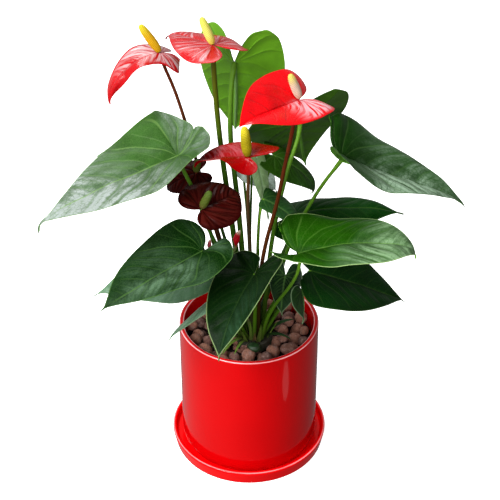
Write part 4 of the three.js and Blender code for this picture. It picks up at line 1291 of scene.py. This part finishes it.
flowerStalkColours = {
    "brown": ((0.030, 0.042, 0.006), (0.080, 0.026, 0.006), (0.130, 0.018, 0.005)),
    "russet": ((0.030, 0.026, 0.004), (0.055, 0.013, 0.002), (0.11, 0.012, 0.002)),
    "dull": ((0.030, 0.040, 0.012), (0.048, 0.032, 0.014), (0.080, 0.030, 0.010)),
    "green": ((0.020, 0.045, 0.004), (0.014, 0.052, 0.004), (0.040, 0.110, 0.008)),
    "olive": ((0.020, 0.060, 0.003), (0.030, 0.085, 0.003), (0.085, 0.078, 0.004)),
}

for flowerName, flowerOwn in flowers.items():
    flower = {**flowerShape, **flowerOwn}
    colours = collarColours[flower["colour"]]
    looks = [
        collarMaterial("collar_" + flowerName, colours, flower, True),
        collarMaterial("back_" + flowerName, colours, flower, False),
    ]
    node = "flower_" + flowerName
    bladePiece("collar_" + flowerName, flower, looks, (node + "_collar",))
    spikePiece("spike_" + flowerName, flower, node + "_spike")
    material = stalkMaterial("peduncle_" + flowerName, *flowerStalkColours[flower["stalk"]], 0.4)
    stalkPiece("peduncle_" + flowerName, node + "_stalk", material, flower)
print("flowers opened:", len(flowers))


# flowers still rolled shut
buds = {
    "red": {"foot": (-12, -20, 247), "tip": (-8, -23, 267), "radius": 3.3, "body": (0.42, 0.002, 0.008)},
    "pink": {"foot": (-36, -14, 238), "tip": (-35, -15, 252), "radius": 2.1, "body": (0.72, 0.10, 0.14)},
}


budShape = {
    "stalkGreen": (0.13, 0.17, 0.05),
    "paleTip": (0.80, 0.66, 0.50),
    "groove": 0.35,  # how deep the seam of the rolled collar lies
    "winding": 0.35,  # and how far round the bud it goes
}


def budMaterial(name, body):
    material, tree, shader = newMaterial(name)
    up = reading(tree, "up")
    colour = layered(
        budShape["stalkGreen"], (ramp(up, 0.45, 0.62), body), (ramp(up, 0.86, 0.97), budShape["paleTip"]),
        # painted shade: darker along the groove of the rolled collar's seam
        (ramp(reading(tree, "wrap"), 0.0, 0.25, 0.6, 0), dimmed(body, 0.4)),
    )
    fine = noisePattern(objectPlace(tree), 700, 3)
    dress(shader, colour, ramp(fine, 0.3, 0.7, 0.26, 0.4), fine, 0.3, 0.0002,
          Coat_Weight=0.1, Specular_IOR_Level=0.12)
    return material


def budPiece(name, bud, nodeName):
    centres, rodRadius = rodCentres(nodeName)
    foot, tip = np.array(bud["foot"], float), np.array(bud["tip"], float)
    axis = unit(tip - foot)
    lower = [c for c in centres if (c - foot) @ axis < -4]
    lean = unit(np.cross(axis, (0.2, 1, 0.3)))
    upper = [foot + (tip - foot) * t + lean * 1.2 * math.sin(math.pi * t) for t in (0, 0.25, 0.5, 0.75, 1)]
    path = softCurve(np.vstack([lower, upper]), 110)
    share = np.clip((path - foot) @ axis / np.linalg.norm(tip - foot), -1, 1)
    swell = np.interp(share, [-1, 0, 0.12, 0.4, 0.75, 0.95, 1], [0, 0, 0.55, 1, 0.7, 0.25, 0.06])
    stalk = rodRadius * (1 - smoothStep(share, 0, 0.3))
    radii = np.where(share <= 0, rodRadius, np.maximum(stalk, bud["radius"] * swell))
    sides = 28
    points, faces = tubeNet(path, radii, sides)
    turn = np.tile(np.arange(sides) / sides, len(path))
    ringShare = np.repeat(share, sides)
    wrap = np.abs((turn - budShape["winding"] * ringShare) % 1 - 0.5) * 2
    wrap = np.where(ringShare > 0, 1 - wrap, 1)
    groove = budShape["groove"] * np.clip(1 - wrap / 0.2, 0, 1) * np.repeat(swell, sides)
    centre = np.repeat(path, sides, axis=0)
    rim = points[1:-1] - centre
    points[1:-1] = centre + rim * (1 - groove / np.maximum(np.linalg.norm(rim, axis=1), 0.2))[:, None]
    up = np.concatenate([[0], np.where(ringShare > 0, 0.5 + 0.5 * ringShare, 0.5 * (1 + ringShare)), [1]])
    data = {"up": up, "wrap": np.concatenate([[1], wrap, [1]])}
    material = budMaterial(name, bud["body"])
    return makePiece(name, points, faces, [material], (nodeName,), data=data)


for budName, bud in buds.items():
    budPiece("bud_" + budName, bud, "flower_bud_" + budName)


# the crown: a low lumpy stump, with old sheaths and young shoots standing round the stalks
crown = {
    "centre": (4, -8), "radius": 20, "top": 137, "foot": 126.5,
    "sheaths": [  # bearing, height, lean outwards, width, droop
        (-115, 22, 0.3, 5, 0), (-72, 30, 0.35, 6, 0), (-28, 26, 0.42, 5, 0), (50, 20, 0.35, 5, 0),
    ],
    "shoots": [
        (-100, 30, 0.10, 3.5, 0), (-140, 24, 0.30, 4, 0), (-55, 20, 0.2, 4, 0), (-85, 17, 0.5, 4.5, 0),
        (-10, 22, 0.25, 4, 0), (175, 24, 0.3, 4, 0), (120, 22, 0.25, 4, 0), (15, 16, 0.4, 4, 0),
        (85, 18, 0.2, 4, 0), (-132, 34, 0.75, 5.5, 0.95), (-118, 28, 0.85, 4.5, 0.9),
        (-150, 30, 0.9, 5, 0.9),
    ],
    "leaflets": [
        (100, 52, 0.25, 10, 0.1), (65, 46, 0.45, 9, 0.2), (140, 48, 0.35, 9, 0.1), (30, 44, 0.55, 9, 0.3),
        (170, 40, 0.5, 8, 0.3), (0, 38, 0.75, 8, 0.5), (-30, 36, 0.8, 7, 0.7), (80, 62, 0.1, 9, 0),
        (120, 60, 0.15, 9, 0), (-160, 34, 0.6, 7, 0.5),
    ],
    "bark": (0.020, 0.018, 0.008),
    "moss": (0.018, 0.034, 0.010),
    "scars": (0.02, 0.014, 0.010),
    "dry": (0.12, 0.075, 0.03),
    "sheathGreens": ((0.075, 0.105, 0.020), (0.10, 0.19, 0.022)),  # foot and tip
    # very dark greens: partly the leaflets' own colour and partly painted shade among the stalks at the foot
    "leafletGreens": ((0.010, 0.022, 0.004), (0.010, 0.040, 0.008)),
    "stub": {"place": (5, -33, 138.5), "radius": 6.4, "green": (0.010, 0.045, 0.008)},  # of a stalk cut short
}


def stumpMaterial():
    material, tree, shader = newMaterial("stump")
    where = objectPlace(tree)
    coarse = noisePattern(where, 120, 4, 0.6)
    scars = noisePattern(stretched(where, (120, 120, 700)), 1, 2)
    colour = layered(
        crown["bark"], (ramp(coarse, 0.35, 0.65), crown["moss"]),
        (ramp(scars, 0.5, 0.6, 0, 0.5), crown["scars"]),
    )
    dress(shader, colour, ramp(coarse, 0.3, 0.7, 0.7, 0.92), plus(coarse, scars), 0.8, 0.0012)
    return material


def sheathMaterial(name, foot, tip, dryShare):
    material, tree, shader = newMaterial(name)
    fibre = noisePattern(stretched(objectPlace(tree), (800, 800, 40)), 1, 3)
    colour = layered(
        foot, (ramp(reading(tree, "up"), 0.1, 0.9), tip),
        (ramp(reading(tree, "tint"), 0.55, 0.9, 0, dryShare), crown["dry"]),
        (ramp(fibre, 0.45, 0.7, 0, 0.45), dimmed(foot, 0.3)),
    )
    dress(shader, colour, ramp(fibre, 0.3, 0.7, 0.42, 0.6), fibre, 0.5, 0.0003, Specular_IOR_Level=0.12)
    return material


def stumpPiece(material):
    (cx, cy), radius, foot, top = crown["centre"], crown["radius"], crown["foot"], crown["top"]
    profile = [(0, foot)] + run((0, foot), (radius - 1.6, foot), 5)
    profile += arc((radius - 2, foot + 2), 1.7, -90, 0, 5)
    profile += run(profile[-1], (radius - 0.6, top - 2), 9)
    profile += arc((radius - 2.6, top - 2), 2, 0, 90, 6)
    profile += run((radius - 2.6, top), (0, top), 12) + [(0, top)]
    around, points = 120, []
    for r, z in profile:
        share = min(1, r / 8)
        for x, y in circle(around):
            place = Vector((r * x, r * y, z))
            lump = 0.9 * noise.noise(place / 5) + 0.4 * noise.noise(place / 2)
            reach = min(r + lump * share - 0.4 * share, radius)
            points.append((cx + reach * x, cy + reach * y, z + min(0, 0.8 * lump - 0.3) * share))
    points, faces, _, _ = weldPoints(points, ringFaces(len(profile), around), {})
    return makePiece("crown_stump", points, faces, [material], ("crown",))


def sheathPiece(name, rows, ringRadius, material, seed):
    draw = np.random.default_rng(seed)
    cx, cy = crown["centre"]
    steps, sides = 26, 10
    side = (np.arange(sides) / (sides - 1) * 2 - 1)[:, None]
    points, faces, ups, tints = [], [], [], []
    for bearing, height, lean, width, droop in rows:
        out = np.array([math.cos(math.radians(bearing)), math.sin(math.radians(bearing)), 0])
        across = np.array([-out[1], out[0], 0])
        foot = np.array([cx, cy, crown["top"] - 3]) + out * ringRadius
        bendOut = draw.uniform(-0.15, 0.25)
        twist = draw.uniform(-0.5, 0.5)
        base = len(points)
        for t in np.arange(steps + 1) / steps:
            rise = np.array([0, 0, 1]) * height * (t - droop * t * t)
            spine = foot + out * (lean * t + bendOut * t * t) * height + rise
            half = 0.5 * width * (1 - t) ** 0.55 * (0.75 + 0.9 * t * (1 - t)) + 0.12
            wide = across * math.cos(twist * t) + out * math.sin(twist * t)
            deep = np.cross(wide, unit(out * (lean + 2 * bendOut * t) + (0, 0, 1 - 2 * droop * t)))
            hollow = 0.55 * half * (1 - side * side)
            wall = 0.7 * (1 - side * side) * (1 - 0.6 * t) + 0.1
            points += [*(spine + wide * half * side - deep * hollow)]
            points += [*(spine + wide * half * side - deep * (hollow - wall))[::-1]]
            ups += [t] * (2 * sides)
        tints += [draw.random()] * (len(points) - base)
        faces += ringFaces(steps + 1, 2 * sides, base, flipped=True)
        last = len(points) - 1
        faces += [[*range(base, base + 2 * sides)], [*range(last, last - 2 * sides, -1)]]
    data = {"up": ups, "tint": tints}
    return makePiece(name, np.array(points), faces, [material], (), data=data)


# A cut stub, lumpy and a little flattened.
def stubPiece(name, stub):
    ball, faces = ballNet(4)
    radius = stub["radius"]
    swell = lumpy(ball, 0.12, 1.4, 0.04, 5)
    points = ball * swell[:, None] * (radius, 0.8 * radius, 0.7 * radius)
    points[:, 2] = np.minimum(points[:, 2], 0.5 * radius)
    material, tree, shader = newMaterial(name)
    patch = noisePattern(objectPlace(tree), 300, 4, 0.6)
    colour = blendColours(ramp(patch, 0.35, 0.65), dimmed(stub["green"], 0.45), stub["green"])
    dress(shader, colour, ramp(patch, 0.3, 0.7, 0.4, 0.6), patch, 0.5, 0.0004)
    return makePiece(name, points + np.array(stub["place"]), faces, [material], ())


stumpPiece(stumpMaterial())
youngLook = sheathMaterial("youngSheath", *crown["sheathGreens"], 1)
darkLook = sheathMaterial("leaflet", *crown["leafletGreens"], 0)
sheathPiece("crown_sheaths", crown["sheaths"], crown["radius"] - 5, youngLook, 5)
sheathPiece("crown_shoots", crown["shoots"], crown["radius"] - 8, youngLook, 6)
sheathPiece("crown_leaflets", crown["leaflets"], crown["radius"] - 10, darkLook, 8)
stubPiece("crown_stub", crown["stub"])
print("crown set")


# floor, light and air
studio = {
    "floorSize": 16,  # m
    "floorGlow": 0.8,
    "key": {"place": (-800, -800, 1350), "size": 800, "power": 38},
    "front": {"place": (-150, -1500, 850), "size": 900, "power": 13},
    "back": {"place": (-380, 870, 1440), "size": 700, "power": 12},
    "card": {"place": (97, -90, 60), "size": 20, "tall": 42, "power": 0.0022, "target": (34, -59, 117)},
    "below": (0.45, 0.16),  # brightness of the air under the horizon, left and right
    "above": (0.60, 0.36),
    "farEdge": 0.35,  # the bright rim of the room behind the plant
}


def makeFloor():
    bpy.ops.mesh.primitive_plane_add(size=studio["floorSize"], location=(0, 0, 0))
    floor = bpy.context.object
    floor.name = "floor"
    material, _, shader = newMaterial("floorWhite")
    setSockets(shader, Base_Color=(0.9, 0.9, 0.9, 1), Roughness=1, Specular_IOR_Level=0)
    setSockets(shader, Emission_Color=(1, 1, 1, 1), Emission_Strength=studio["floorGlow"])
    floor.data.materials.append(material)
    floor.visible_glossy = False
    floor.visible_diffuse = False


def areaLight(name, place, size, power, target=(0, 0, 250), tall=None):
    data = bpy.data.lights.new(name, "AREA")
    data.shape = "ELLIPSE"
    data.size = size * mm
    data.size_y = (tall or size) * mm
    data.energy = power
    lamp = bpy.data.objects.new(name, data)
    bpy.context.scene.collection.objects.link(lamp)
    lamp.location = Vector(place) * mm
    lamp.rotation_euler = (Vector(target) - Vector(place)).to_track_quat("-Z", "Y").to_euler()
    return lamp


def makeAir():
    world = bpy.data.worlds.new("air")
    bpy.context.scene.world = world
    world.use_nodes = True
    tree = world.node_tree
    back = tree.nodes["Background"]
    plug(back.inputs["Color"], (1, 1, 1))
    direction = newNode(tree, "ShaderNodeTexCoord").outputs["Generated"]
    x, y, z = newNode(tree, "ShaderNodeSeparateXYZ", direction).outputs
    below = ramp(x, -0.9, 0.5, *studio["below"])
    above = ramp(x, -0.9, 0.7, *studio["above"])
    strength = plus(times(above, ramp(z, -0.12, 0.22)), times(below, ramp(z, -0.12, 0.22, 1, 0)))
    level = ramp(math2("ABSOLUTE", z), 0.05, 0.3, studio["farEdge"], 0)
    plug(back.inputs["Strength"], plus(strength, times(level, ramp(y, 0.3, 0.8))))


makeFloor()
lamps = {name: areaLight(name, **studio[name]) for name in ("key", "front", "back", "card")}
lamps["card"].visible_diffuse = False  # only the gloss of the pot sees it
lamps["card"].visible_camera = False
makeAir()
bpy.context.scene.view_settings.view_transform = "Standard"
print("studio lit")
